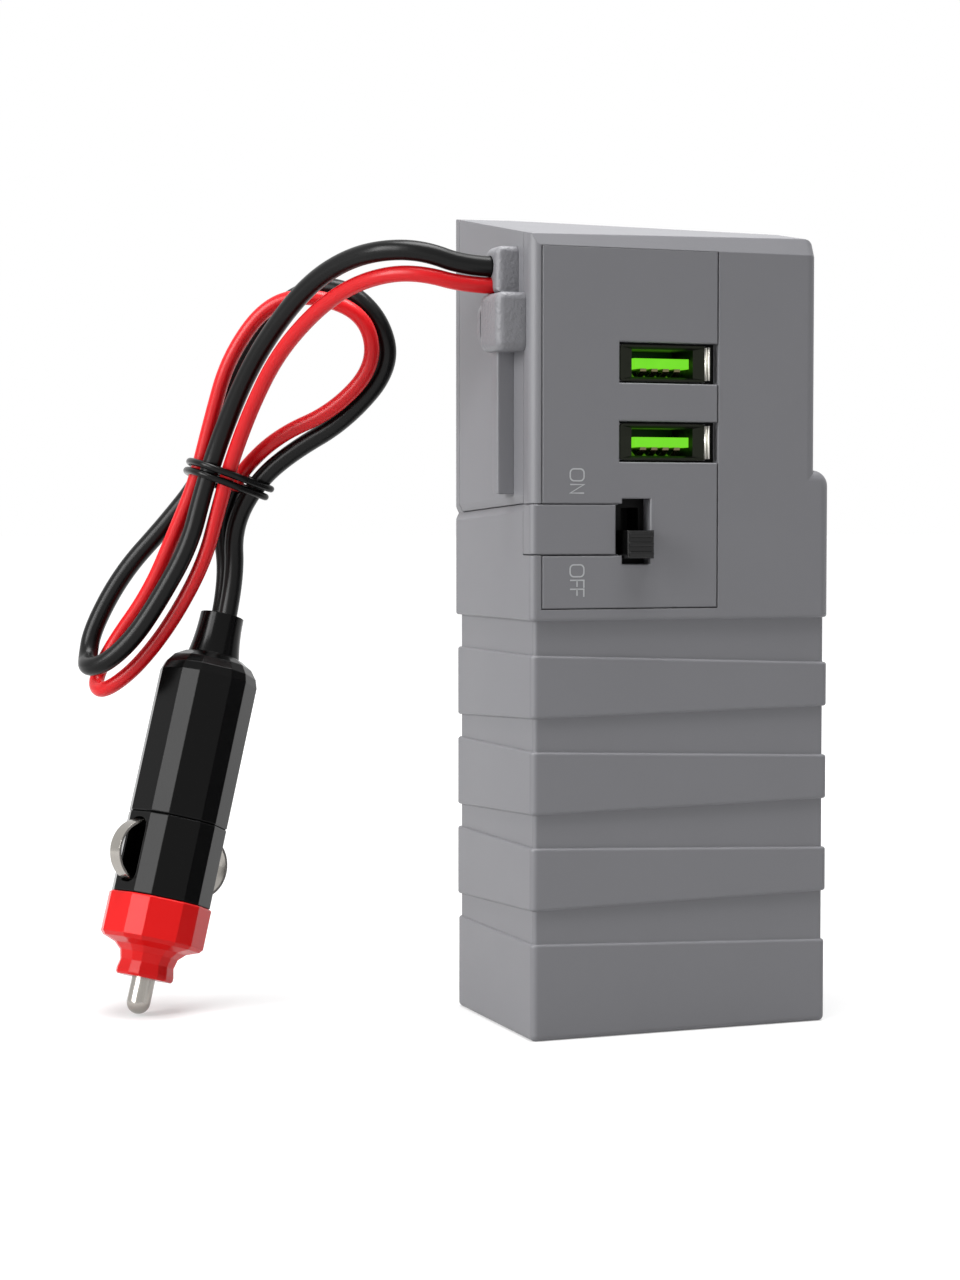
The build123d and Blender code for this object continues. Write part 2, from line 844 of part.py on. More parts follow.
def transformer():
    """Ferrite core round a wound bobbin, standing on the board."""
    x, z = transformer_place
    y0 = main_board_y - transformer_depth
    half_x = transformer_width / 2
    half_z = transformer_height / 2
    core = block(
        x - half_x, x + half_x, y0 + core_margin, main_board_y - core_margin, z - half_z, z + half_z)
    core = core - block(
        x - half_x + core_leg, x + half_x - core_leg, y0, main_board_y, z - half_z + core_leg,
        z + half_z - core_leg)
    winding = Pos(x, (y0 + main_board_y) / 2, z) * Cylinder(winding_diameter / 2, 2 * (half_z - core_leg))
    window_width = transformer_width - 2 * core_leg
    winding = winding & block(
        x - window_width / 2, x + window_width / 2, y0, main_board_y, z - half_z, z + half_z)
    z0 = z - half_z + core_leg
    foot = block(
        x - window_width / 2, x + window_width / 2, main_board_y - bobbin_foot, main_board_y,
        z0, z0 + bobbin_cheek)
    head = foot.moved(Location((0, 0, 2 * (half_z - core_leg) - bobbin_cheek)))
    return core + winding + foot + head


def sink_left():
    """Left side of the heat sink, which stands beside the right rail."""
    return inner_right - rail_width - sink_gap - sink_width


def heat_sink():
    """Finned sink on the board, with a side plate for the transistors."""
    x0 = sink_left()
    z0 = sink_middle - sink_height / 2
    y1 = main_board_y
    body = block(x0, x0 + sink_width, y1 - sink_base, y1, z0, z0 + sink_height)
    body += block(x0, x0 + sink_side, y1 - sink_base - sink_fin_height, y1, z0, z0 + sink_height)
    pitch = (sink_width - sink_side - sink_fin) / (sink_fin_count - 1)
    for index in range(1, sink_fin_count):
        fin_x = x0 + sink_side + index * pitch
        body += block(fin_x, fin_x + sink_fin, y1 - sink_base - sink_fin_height, y1, z0, z0 + sink_height)
    return body


def power_transistors():
    """Transistors flat on the sink's side plate, with their leads in the board."""
    x1 = sink_left()
    y1 = main_board_y - transistor_lift
    solids = []
    for index in range(transistor_count):
        z = sink_middle + (index - (transistor_count - 1) / 2) * transistor_pitch
        tab = block(
            x1 - 1.3, x1, y1 - transistor_length, y1, z - transistor_width / 2, z + transistor_width / 2)
        body = block(
            x1 - transistor_thickness, x1, y1 - transistor_length * 0.6, y1, z - transistor_width / 2,
            z + transistor_width / 2)
        solid = tab + body
        for lead in (-1, 0, 1):
            lead_z = z + lead * lead_pitch
            solid += block(
                x1 - transistor_thickness / 2 - lead_width / 2,
                x1 - transistor_thickness / 2 + lead_width / 2, y1, main_board_y,
                lead_z - lead_width / 2, lead_z + lead_width / 2)
        solids.append(solid)
    return Compound(solids)


def can_capacitors():
    """Electrolytic capacitors standing on the board, each with a bead near its foot."""
    cans = []
    for diameter, length, offset, z in capacitors:
        x = inner_left + offset
        y0 = main_board_y - length
        can = rod_y(x, z, y0, main_board_y, diameter)
        can = round_edges(can, 0.8, lambda c, t: c.Y < y0 + 0.01)
        foot = main_board_y - 2.5 * capacitor_bead
        ring = rod_y(x, z, foot - capacitor_bead, foot, diameter + 1) - rod_y(
            x, z, foot - capacitor_bead, foot, diameter - capacitor_bead)
        cans.append(can - ring)
    return Compound(cans)


# Outlet

def blade_slots(play, depth):
    """The outlet's two blade slots and its ground hole, as deep as asked."""
    x1 = recess_side + outlet_flange_height + 1
    x0 = recess_side + outlet_flange_height - depth
    z = outlet_centre + blade_lift
    slots = [
        block(x0, x1, side * blade_spacing / 2 - blade_slot / 2 - play, side * blade_spacing / 2 + blade_slot / 2 + play,
              z - blade_height / 2 - play, z + blade_height / 2 + play)
        for side in (-1, 1)]
    hole = extrude(
        Plane.YZ.offset(x0) * Pos(0, z - ground_drop) * Circle(ground_diameter / 2 + play), x1 - x0)
    return fuse_all(slots) + hole


def outlet_insert():
    """Moulded outlet face with its flange on the recessed side."""
    face = recess_side + outlet_flange_height
    seat = Plane.YZ.offset(recess_side) * Pos(0, outlet_centre) * RectangleRounded(
        outlet_width + 2 * outlet_flange, outlet_height + 2 * outlet_flange, outlet_corner)
    flange = extrude(seat, outlet_flange_height)
    flange = round_edges(flange, 0.4, lambda c, t: c.X > face - 0.01)
    profile = Plane.YZ.offset(face - outlet_depth) * Pos(0, outlet_centre) * RectangleRounded(
        outlet_width, outlet_height, outlet_corner)
    body = extrude(profile, outlet_depth)
    return (flange + body) - blade_slots(0, outlet_depth - outlet_floor)


def outlet_contacts():
    """Spring strips along the slots, with tails through the insert's back."""
    face = recess_side + outlet_flange_height
    x0 = face - outlet_depth - spring_tail
    x1 = face - 3
    z = outlet_centre + blade_lift
    strips = []
    for side in (-1, 1):
        y = side * (blade_spacing / 2 + blade_slot / 2)
        y0, y1 = sorted((y, y - side * spring_thickness))
        strips.append(block(x0, x1, y0, y1, z - blade_height / 3, z + blade_height / 3))
    return Compound(strips)


def outlet_with_tail_holes():
    """Insert with the tails' holes in its back."""
    return outlet_insert() - outlet_contacts()


# Strain relief and clip on the left side

def wire_bores(play):
    """Blind holes of the two wires in the strain relief."""
    bores = []
    for route, diameter in ((black_route, black_diameter), (red_route, red_diameter)):
        x, y, z = route[0]
        depth = x - (left - relief_proud - 1)
        bores.append(extrude(Plane.YZ.offset(x - depth) * Pos(y, z) * Circle(diameter / 2 + play), depth))
    return bores


def strain_relief():
    """Lobe that the two wires come out of."""
    body = block(left - relief_proud, left, relief_front, relief_back, relief_bottom, relief_top)
    for radius, y in ((relief_front_radius, relief_front), (relief_back_radius, relief_back)):
        body = round_edges(
            body, radius, lambda c, t: abs(t.X) > 0.9 and abs(c.Y - y) < 0.01 and c.Z > relief_top - 0.01)
    body = round_edges(body, relief_radius, lambda c, t: c.X < left - relief_proud + 0.01)
    for bore in wire_bores(hole_play):
        body = body - bore
    return body


def cord_clip():
    """Lobe with a slit and a thin jaw behind it, on a stepped bar."""
    clip_top = relief_bottom
    lobe = block(left - clip_proud, left, clip_front, clip_back, clip_bottom, clip_top)
    lobe = round_edges(lobe, clip_corner_radius, lambda c, t: abs(t.X) > 0.9)
    lobe = round_edges(lobe, clip_radius, lambda c, t: c.X < left - clip_proud + 0.01)
    jaw_front = clip_back + clip_slit
    jaw = block(left - jaw_proud, left, jaw_front, jaw_front + jaw_thickness, clip_bottom, clip_top)
    jaw = round_edges(jaw, jaw_proud * 0.8, lambda c, t: abs(t.Y) > 0.9 and c.X < left - jaw_proud + 0.01)
    root = block(
        left - jaw_proud / 2, left, clip_back - 1, jaw_front + jaw_thickness / 2, clip_bottom,
        clip_bottom + jaw_root)
    step_front = bar_back - bar_step_width
    bar = block(left - bar_proud, left, bar_front, step_front, bar_bottom, clip_bottom + 1)
    step = block(
        left - bar_proud + bar_step, left, bar_front + 0.5, bar_back, bar_bottom, clip_bottom + 1)
    bar = bar + step
    bar = round_edges(
        bar, bar_radius, lambda c, t: abs(t.X) > 0.9 and c.Y > bar_back - 0.01 and c.Z < bar_bottom + 1)
    bar = round_edges(bar, bar_edge_radius, lambda c, t: abs(t.Z) > 0.9 and c.X < left - bar_proud + 0.01)
    return lobe + jaw + root + bar


# Plug, drawn on its own axis: local +Z runs from the tip to the cord, local +X to the left contact

def plug_plane():
    """Plug's own axes in the body's frame."""
    tilt = math.radians(plug_tilt)
    heading = math.radians(plug_heading)
    axis = Vector(math.sin(tilt) * math.cos(heading), math.sin(tilt) * math.sin(heading), math.cos(tilt))
    side = Vector(math.cos(math.radians(contact_heading)), math.sin(math.radians(contact_heading)), 0)
    side = (side - axis * side.dot(axis)).normalized()
    return Plane(origin=plug_tip, x_dir=side, z_dir=axis)


def place(part):
    """Move a plug piece from its own axis to where the plug hangs."""
    return plug_plane().location * part


def facets(diameter, z):
    """Twelve-sided outline with wide and narrow sides in turn."""
    radius = diameter / 2
    points = []
    for index in range(6):
        for side in (-1, 1):
            angle = math.radians(60 * index + side * facet_angle / 2)
            points.append((radius * math.cos(angle), radius * math.sin(angle)))
    return Plane.XY.offset(z) * Polygon(*points, align=None)


def faceted(stations):
    """Ruled solid through twelve-sided outlines, given as diameter and height."""
    return loft([facets(diameter, z) for diameter, z in stations], ruled=True)


def rod(z0, z1, diameter):
    """Round bar on the plug's axis."""
    return extrude(Plane.XY.offset(z0) * Circle(diameter / 2), z1 - z0)


def nose_cap():
    """Screw cap that holds the tip, faceted and drawn in to a waist behind its lip."""
    height = cap_shoulder - pin_length
    body = faceted([
        (cap_tip_diameter - 0.6, pin_length), (cap_tip_diameter, pin_length + 0.4),
        (cap_tip_diameter, pin_length + 0.16 * height), (cap_waist_diameter, pin_length + 0.4 * height),
        (cap_waist_diameter + 0.9, pin_length + 0.66 * height), (
            cap_tip_diameter + 2.9, pin_length + 0.84 * height),
        (cap_diameter - 1.2, pin_length + 0.97 * height), (cap_diameter, cap_shoulder + 0.5),
        (cap_diameter, cap_end - parting_chamfer), (cap_diameter - 2 * parting_chamfer, cap_end)])
    body = body - rod(0, cap_end, pin_diameter + 2 * thread_play)
    body = body - rod(pin_length + cap_floor, cap_end, pin_collar + 0.7)
    return body - rod(
        cap_end - spigot_length - thread_play, cap_end + 1, spigot_diameter + 2 * thread_play)


def contact_pocket(side):
    """Slot in the barrel for one side contact."""
    sketch = Plane.YZ.offset(contact_slot_floor) * Pos(0, contact_slot_centre) * RectangleRounded(
        contact_slot_width, contact_slot_length, contact_slot_radius)
    pocket = extrude(sketch, plug_diameter)
    return pocket if side > 0 else Rot(0, 0, 180) * pocket


def plug_barrel():
    """Barrel with the side contacts' slots and a spigot for the cap."""
    body = faceted([
        (plug_diameter - 2 * parting_chamfer, cap_end), (plug_diameter, cap_end + parting_chamfer),
        (plug_diameter, barrel_end - parting_chamfer), (plug_diameter - 2 * parting_chamfer, barrel_end)])
    body += rod(cap_end - spigot_length, cap_end + 1, spigot_diameter)
    body = body - rod(0, barrel_end + 1, bore_diameter)
    body = body - rod(0, cap_end - spigot_length + pin_travel, pin_collar + 0.7)
    for side in (-1, 1):
        body = body - contact_pocket(side)
    return body


def neck():
    """Neck of the plug, drawn in to a small end where the wires go in."""
    base_z = sleeve_end + shoulder_height
    outline = Polyline(
        (0, base_z - 1), (neck_base_diameter / 2, base_z - 1), (neck_base_diameter / 2, base_z))
    curve = ThreePointArc(
        (neck_base_diameter / 2, base_z), (
            neck_top_diameter / 2 + 0.35, base_z + 3), (neck_top_diameter / 2, plug_length))
    close = Polyline((neck_top_diameter / 2, plug_length), (0, plug_length), (0, base_z - 1))
    profile = make_face(Plane.XZ * (outline + curve + close))
    return revolve(profile, Axis.Z)


def plug_body():
    """Rear sleeve of the plug, its domed shoulder and its neck."""
    body = faceted([
        (plug_diameter - 2 * parting_chamfer, barrel_end), (plug_diameter, barrel_end + parting_chamfer),
        (plug_diameter, sleeve_end), (plug_diameter - shoulder_fall, sleeve_end + 0.36 * shoulder_height),
        (plug_diameter - shoulder_turn, sleeve_end + 0.72 * shoulder_height),
        (neck_base_diameter + neck_flare, sleeve_end + shoulder_height)])
    body += neck()
    body = body - rod(barrel_end - 1, bore_end + terminal_thickness, bore_diameter)
    body = body - rod(
        bore_end, bore_end + terminal_thickness + terminal_tail, terminal_tail_diameter + 0.2)
    for route, diameter in ((black_route, black_diameter), (red_route, sleeve_diameter)):
        end = plug_plane().to_local_coords(Vector(*route[-1]))
        bore = Plane.XY.offset(
            end.Z - hole_play / 2) * Pos(end.X, end.Y) * Circle(diameter / 2 + hole_play)
        body = body - extrude(bore, plug_length)
    return body


def tip_pin():
    """Sprung tip contact with its collar."""
    stem = rod(pin_diameter / 2, pin_length + cap_floor + 0.3, pin_diameter)
    dome = Pos(0, 0, pin_diameter / 2) * Sphere(pin_diameter / 2)
    z = pin_length + cap_floor + 0.2
    return stem + dome + rod(z, z + pin_collar_height, pin_collar)


def fuse_foot():
    """Height at which the fuse stands on the tip's collar."""
    return pin_length + cap_floor + 0.2 + pin_collar_height


def plug_fuse():
    """Glass fuse with its two metal ends."""
    z = fuse_foot()
    body = rod(z, z + fuse_length, fuse_diameter - 0.5)
    return body + rod(
        z, z + fuse_cap, fuse_diameter) + rod(z + fuse_length - fuse_cap, z + fuse_length, fuse_diameter)


def biarc(start, start_dir, end, end_dir):
    """Two arcs that join two points with given directions."""
    chord = end - start
    total = start_dir + end_dir
    spread = 2 * (1 - start_dir.dot(end_dir))
    along = chord.dot(total)
    reach = (-along + math.sqrt(along * along + spread * chord.dot(chord))) / spread
    middle = (start + start_dir * reach + end - end_dir * reach) * 0.5
    first = TangentArc(start, middle, tangent=start_dir)
    return [first, TangentArc(middle, end, tangent=first % 1)]


def tip_spring():
    """Compression spring between the fuse and the terminal."""
    radius = fuse_diameter / 2 - spring_wire / 2
    z0 = fuse_foot() + fuse_length + spring_wire / 2 + 0.05
    rise = (bore_end - z0 - spring_wire / 2 - 0.05) / spring_turns
    lead = rise / (2 * math.pi)

    def point(turn):
        angle = 2 * math.pi * turn
        return Vector(radius * math.cos(angle), radius * math.sin(angle), z0 + rise * turn)

    def direction(turn):
        angle = 2 * math.pi * turn
        return Vector(-radius * math.sin(angle), radius * math.cos(angle), lead).normalized()

    arcs = []
    for step in range(2 * spring_turns):
        a = step / 2
        b = (step + 1) / 2
        arcs += biarc(point(a), direction(a), point(b), direction(b))
    path = Wire(arcs)
    print("spring gap between turns", round(rise - spring_wire, 2))
    return sweep(Plane(origin=path @ 0, z_dir=path % 0) * Circle(spring_wire / 2), path=path)


def plug_terminal():
    """Disc behind the spring, with the tail that the wire is soldered to."""
    return rod(bore_end, bore_end + terminal_thickness, bore_diameter - 0.2) + rod(
        bore_end + terminal_thickness, bore_end + terminal_thickness + terminal_tail,
        terminal_tail_diameter)


def side_contact(side):
    """Bowed side contact with a foot at each end in its slot."""
    half = contact_slot_length / 2 - strip_play
    peak = strip_reach
    z0 = contact_slot_centre - half
    z1 = contact_slot_centre + half
    outer = ThreePointArc((strip_foot, z0), (peak, contact_slot_centre), (strip_foot, z1))
    inner = ThreePointArc(
        (strip_foot, z1 - strip_thickness), (
            peak - strip_thickness, contact_slot_centre), (strip_foot, z0 + strip_thickness))
    ends = [Line((strip_foot, z1), (
        strip_foot, z1 - strip_thickness)), Line((strip_foot, z0 + strip_thickness), (strip_foot, z0))]
    profile = make_face(Plane.XZ * (outer + ends[0] + inner + ends[1]))
    strip = extrude(profile, strip_width / 2, both=True)
    return strip if side > 0 else Rot(0, 0, 180) * strip


# Wires, sleeve and tie

def corner_radii(points):
    """Fillet radius at each inner corner of a route."""
    radii = []
    for a, b, c in zip(points, points[1:], points[2:]):
        first = Vector(*b) - Vector(*a)
        second = Vector(*c) - Vector(*b)
        turn = math.radians(first.get_angle(second))
        radii.append(0.45 * min(first.length, second.length) / math.tan(turn / 2))
    return radii


def cord_path(points):
    """Straight runs joined by tangent arcs."""
    return FilletPolyline(*points, radius=corner_radii(points))


def tube(path, diameter, bore=0):
    """Round tube along a path."""
    section = Circle(diameter / 2)
    if bore:
        section = section - Circle(bore / 2)
    return sweep(Plane(origin=path @ 0, z_dir=path % 0) * section, path=path)


def report_cord(name, points, path, solid, diameter, bore=0):
    """Print a cord's length, least radius and volume against its section times its length."""
    area = math.pi * (diameter ** 2 - bore ** 2) / 4
    radii = corner_radii(points)
    print(name, "length", round(path.length, 1), "radii", [round(r, 1) for r in radii])
    print(name, "least radius", round(
        min(radii), 2), "volume ratio", round(solid.volume / (area * path.length), 4))


def report_gap(name, path, diameter):
    """Print the least gap of a cord to itself, away from its own neighbouring stretch."""
    count = 400
    samples = [path @ (index / count) for index in range(count + 1)]
    apart = int(4 * diameter / (path.length / count)) + 1
    least = min(
        (samples[
            i] - samples[j]).length for i in range(count + 1) for j in range(i + apart, count + 1, 2))
    print(name, "least gap to itself", round(least - diameter, 2))


def middle_of(a, b):
    """Middle of a run."""
    return tuple((p + q) / 2 for p, q in zip(a, b))


def black_wire():
    """Black wire, whole."""
    path = cord_path(black_route)
    solid = tube(path, black_diameter)
    report_cord("black wire", black_route, path, solid, black_diameter)
    report_gap("black wire", path, black_diameter)
    return solid


def red_wire():
    """Red wire, whole."""
    path = cord_path(red_route)
    solid = tube(path, red_diameter)
    report_cord("red wire", red_route, path, solid, red_diameter)
    report_gap("red wire", path, red_diameter)
    return solid


def wire_sleeve():
    """Black sleeve on the red wire, from inside the tie to the plug."""
    points = [
        middle_of(red_route[sleeve_start], red_route[sleeve_start + 1])] + red_route[sleeve_start + 1:]
    whole = [red_route[sleeve_start]] + red_route[sleeve_start + 1:]
    path = FilletPolyline(*points, radius=corner_radii(whole))
    solid = tube(path, sleeve_diameter, sleeve_bore)
    report_cord("wire sleeve", whole, path, solid, sleeve_diameter, sleeve_bore)
    return solid


def tie_circles():
    """Circles that the tie's centre line hugs, strand after strand and turn after turn."""
    circles = []
    count = len(tie_strands)
    for step in range(tie_turn_count * count):
        diameter, place_at, drift = tie_strands[step % count]
        height = tie_pitch * ((step + 0.5) / count - tie_turn_count / 2)
        centre = (place_at[0] + drift[0] * height, place_at[1] + drift[1] * height)
        circles.append((centre, (diameter + tie_diameter) / 2 + tie_play))
    return circles


def tangent_normal(first, second):
    """Outward normal of the line that touches two circles, going counterclockwise."""
    dx = second[0][0] - first[0][0]
    dy = second[0][1] - first[0][1]
    length = math.hypot(dx, dy)
    lean = (first[1] - second[1]) / length
    straight = math.sqrt(1 - lean * lean)
    return (dy * straight + dx * lean) / length, (dy * lean - dx * straight) / length


def tie_corners():
    """Corners of the tie's belt in plan, with the radius at each; a sharp one is shared by two."""
    circles = tie_circles()
    belt = [circles[len(tie_strands) - 1]] + circles + [circles[0]]
    corners = []
    for before, here, after in zip(belt, belt[1:], belt[2:]):
        (x, y), radius = here
        n_in = Vector(*tangent_normal(before, here))
        n_out = Vector(*tangent_normal(here, after))
        shares = [(n_in, n_out)]
        if n_in.get_angle(n_out) > sharp_turn:
            middle = (n_in + n_out).normalized()
            shares = [(n_in, middle), (middle, n_out)]
        for first, second in shares:
            scale = radius / (1 + first.dot(second))
            corners.append(
                (x + scale * (first.X + second.X), y + scale * (first.Y + second.Y), radius * tie_fill))
    return corners


def tie_point(side, behind, up):
    """Point on the tie's axes in the body's frame."""
    x_axis = Vector(*tie_side)
    y_axis = Vector(*tie_back)
    return Vector(*tie_centre) + x_axis * side + y_axis * behind + x_axis.cross(y_axis) * up


def cord_tie():
    """Tie wound round the bundle at a steady pitch, its two ends behind it."""
    corners = tie_corners()
    behind = middle_of(corners[0][:2], corners[-1][:2])
    plan = [behind] + [corner[:2] for corner in corners] + [behind]
    runs = [math.dist(a, b) for a, b in zip(plan, plan[1:])]
    climb = tie_pitch * tie_turn_count / sum(runs)
    points = [
        tie_point(x, y, climb * (sum(runs[:index]) - sum(runs) / 2)) for index, (x, y) in enumerate(plan)]
    path = FilletPolyline(*points, radius=[corner[2] for corner in corners])
    report_gap("cord tie", path, tie_diameter)
    print("cord tie length", round(path.length, 1))
    return tube(path, tie_diameter)


def main():
    """Build every piece and write one STEP file each."""
    os.makedirs("parts", exist_ok=True)
    form = outer_form()
    pieces = {
        "housing": housing(form),
        "front_panel": front_panel(form),
        "switch_bridge": switch_bridge(form),
        "side_cover": side_cover(form),
        "back_cover": back_cover(form),
        "cover_screws": cover_screws(),
        "strain_relief": strain_relief(),
        "cord_clip": cord_clip(),
        "outlet_insert": outlet_with_tail_holes(),
        "outlet_contacts": outlet_contacts(),
        "switch_knob": switch_knob(),
        "switch_body": switch_body(),
        "usb_shell_upper": usb_shell(port_heights[0]),
        "usb_shell_lower": usb_shell(port_heights[1]),
        "usb_tongue_upper": usb_tongue(port_heights[0]),
        "usb_tongue_lower": usb_tongue(port_heights[1]),
        "usb_contacts": usb_contacts(),
        "front_board": front_board(),
        "main_board": main_board(),
        "transformer": transformer(),
        "heat_sink": heat_sink(),
        "power_transistors": power_transistors(),
        "capacitors": can_capacitors(),
        "nose_cap": place(nose_cap()),
        "plug_barrel": place(plug_barrel()),
        "plug_body": place(plug_body()),
        "tip_pin": place(tip_pin()),
        "plug_fuse": place(plug_fuse()),
        "tip_spring": place(tip_spring()),
        "plug_terminal": place(plug_terminal()),
        "contact_left": place(side_contact(1)),
        "contact_right": place(side_contact(-1)),
        "black_wire": black_wire(),
        "red_wire": red_wire(),
        "wire_sleeve": wire_sleeve(),
        "cord_tie": cord_tie(),
    }
    for name, piece in pieces.items():
        export_step(piece, "parts/" + name + ".step")


main()
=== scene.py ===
import json
import math

import bmesh
import bpy
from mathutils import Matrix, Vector


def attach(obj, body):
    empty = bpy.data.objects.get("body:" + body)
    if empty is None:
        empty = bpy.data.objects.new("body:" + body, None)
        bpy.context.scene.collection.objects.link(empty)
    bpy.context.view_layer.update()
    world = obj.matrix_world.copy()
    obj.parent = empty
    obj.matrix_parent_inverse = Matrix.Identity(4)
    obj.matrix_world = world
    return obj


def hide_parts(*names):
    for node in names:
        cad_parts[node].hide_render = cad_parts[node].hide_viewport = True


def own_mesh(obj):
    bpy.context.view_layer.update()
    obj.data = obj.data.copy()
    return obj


# Looks for the car power inverter: camera, light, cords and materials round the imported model, in metres.

MM = 0.001

# Camera that sees the object as the photograph does
CAMERA_PLACE = (-0.2055, -0.4587, 0.0953)
CAMERA_TURN = (87.45, 0.0, -20.6)
CAMERA_LENS = 72.70
SENSOR_HEIGHT = 36.0

# Cords: diameters
BLACK_DIAMETER = 0.0038
RED_DIAMETER = 0.0030
SLEEVE_DIAMETER = 0.0035
TIE_DIAMETER = 0.0014

# Routes in millimetres, the same points as the solids have
BLACK_ROUTE = [
    (-33.0, -10.3, 142.9), (-40.0, -10.3, 142.9), (-47.2, -8.4, 145.6), (-53.5, -4.1, 146.0),
    (-58.3, 3.6, 144.8), (-62.8, 11.7, 141.0), (-66.6, 20.0, 134.5), (-70.4, 28.4, 125.5),
    (-74.0, 35.1, 113.3), (-77.2, 37.9, 101.8), (-79.7, 38.8, 91.2), (-85.6, 41.1, 80.0),
    (-90.2, 42.8, 72.8), (-95.0, 45.7, 67.9), (-97.8, 49.8, 66.9), (-96.8, 54.8, 68.2),
    (-95.3, 57.0, 74.3), (-89.6, 54.3, 85.8), (-81.5, 50.0, 95.6), (-74.8, 45.6, 105.2),
    (-72.4, 44.1, 116.9), (-68.2, 40.4, 129.1), (-60.9, 35.0, 140.2), (-52.1, 28.8, 142.8),
    (-45.0, 24.2, 136.1), (-42.5, 24.3, 126.3), (-50.4, 29.4, 115.9), (-60.0, 34.6, 109.7),
    (-66.2, 38.0, 103.7), (-70.1, 41.7, 94.9), (-69.55, 42.0, 84.4), (-71.95, 40.65, 75.4),
]
RED_ROUTE = [
    (-33.0, -10.3, 139.4), (-40.0, -10.3, 139.4), (-47.2, -8.4, 141.4), (-52.8, -4.1, 141.6),
    (-57.7, 3.9, 139.8), (-62.1, 11.9, 135.5), (-66.8, 20.7, 127.9), (-69.9, 28.2, 118.1),
    (-72.3, 34.5, 107.6), (-74.3, 37.4, 98.0), (-76.6, 39.3, 87.9), (-82.2, 42.4, 76.3),
    (-88.1, 45.2, 67.9), (-92.6, 48.0, 63.5), (-95.2, 51.9, 61.9), (-95.0, 56.1, 64.0),
    (-91.8, 55.4, 70.9), (-85.2, 49.5, 81.9), (-81.0, 45.1, 94.0), (-77.7, 41.8, 103.6),
    (-75.3, 39.3, 115.3), (-72.5, 35.6, 128.3), (-65.5, 31.0, 139.0), (-57.0, 25.8, 140.0),
    (-48.5, 21.6, 135.8), (-46.6, 22.1, 126.3), (-53.5, 27.4, 117.6), (-62.9, 34.5, 112.9),
    (-68.9, 41.7, 105.3), (-70.3, 43.9, 100.1), (-71.4, 45.9, 95.0), (-70.05, 45.85, 84.0),
    (-72.55, 44.45, 75.0),
]
SLEEVE_START = 28
TIE_ROUTE = [
    (-71.69, 46.36, 103.05), (-75.21, 49.17, 104.91), (-77.55, 48.23, 105.85), (-79.63, 41.67, 106.28),
    (-78.68, 35.00, 105.50), (-73.12, 33.19, 103.37), (-64.75, 36.74, 100.80), (-64.00, 39.42, 100.88),
    (-67.47, 44.17, 102.97), (-74.58, 48.72, 106.59), (-76.81, 47.85, 107.48), (-79.24, 41.29, 108.06),
    (-78.21, 34.70, 107.25), (-72.88, 32.55, 105.18), (-63.80, 35.97, 102.34), (-63.05, 38.87, 102.46),
    (-66.81, 43.20, 104.61), (-70.34, 46.01, 106.48),
]

# Sockets, in millimetres: middles, flange and window sizes, and the planes that they lie on
PORT_X = -3.7
PORT_HEIGHTS = (125.3, 110.7)
WINDOW_SIDES = (-13.2, 6.8)
WINDOW_HEIGHT = 7.6
FLANGE_WIDTH = 17.5
FLANGE_HEIGHT = 6.7
FLANGE_FACE = -18.85
# Painted shade sheet in each window: how far it stands proud, and its play round the flange
WALL_FACE = -18.35
SHADE_SHEET_PROUD = 0.14
SHADE_SHEET_PLAY = 0.05
RIM_SOFTNESS = 0.05
LIP_REACH = 1.25
LIP_THICKNESS = 0.3
LIP_END_GAP = 0.25
LIP_SET_IN = 0.3
LIP_TURN = 0.4
LIP_STEPS = 6
TONGUE_TIP = -18.25
TONGUE_HEIGHT = 1.84
SPRING_COUNT = 4
SPRING_STEPS = 12
SPRING_START = 0.9
SPRING_GAP = 0.3
SPRING_PITCH = 2.3
SPRING_WIDTH = 1.25
SPRING_DROP = 1.35
SPRING_BOW = 0.8
SPRING_LENGTH = 7.0
SPRING_THICKNESS = 0.2

# Solids that hang on the cords as the plug
PLUG_NODES = (
    "nose_cap", "plug_barrel", "plug_body", "tip_pin", "plug_fuse", "plug_terminal",
    "contact_left", "contact_right")

# Plug's tip and axis, and the spring behind its fuse, in millimetres along the plug from its tip
PLUG_TIP = (-92.7, 31.3, 0.45)
PLUG_AXIS = (0.257878, 0.144714, 0.955278)
COIL_START = 45.15
COIL_END = 56.85
COIL_TURNS = 6
COIL_STEPS = 24
COIL_SIDES = 12
COIL_RADIUS = 2.875
COIL_WIRE = 0.6

# Where the painted glow on the tongues ends, in metres
TONGUE_ROOT = -0.00925
GLOW_FADE = 0.0004

# Texture of the strain relief and the clip, in metres
SPARK_DEPTH = 0.00016
SPARK_FADE = 0.001
CLIP_BOTTOM = 0.1272

# Lettering beside the switch, in millimetres on the panel's face
LETTER_LEFT = -23.2
LETTER_HEIGHT = 3.0
LETTER_STROKE = 0.26
LETTER_FACE = -20.35
LETTER_PROUD = 0.03
LETTER_SUNK = 0.01
LEAST_MITRE = 0.45
O_WIDTH = 2.45
O_RADIUS = 0.75
N_TOP = 3.0
N_WIDTH = 1.57
F_TOPS = (2.98, 4.62)
F_WIDTH = 1.4
F_ARM = 1.2
F_MIDDLE = 1.38
ON_TOP = 105.7
OFF_TOP = 88.1

# Stage: what the lamps are aimed at, the world's level, and the floor with its glow, in metres
OBJECT_MIDDLE = (0, 0, 0.08)
PLUG_MIDDLE = (-0.0825, 0.037, 0.04)
WORLD_LEVEL = 0.16
FLOOR_SIZE = 40.0
FLOOR_SHADE = 0.5
FLOOR_GLOW = 0.5
FLOOR_NEAR = 0.2
FLOOR_FAR = 0.6


# Node helpers

def new_material(name):
    """Material with its principled shader, and its node tree."""
    material = bpy.data.materials.new(name)
    material.use_nodes = True
    tree = material.node_tree
    return material, tree, tree.nodes["Principled BSDF"]


def object_place(tree):
    """Place on the object, in metres."""
    return tree.nodes.new("ShaderNodeTexCoord").outputs["Object"]


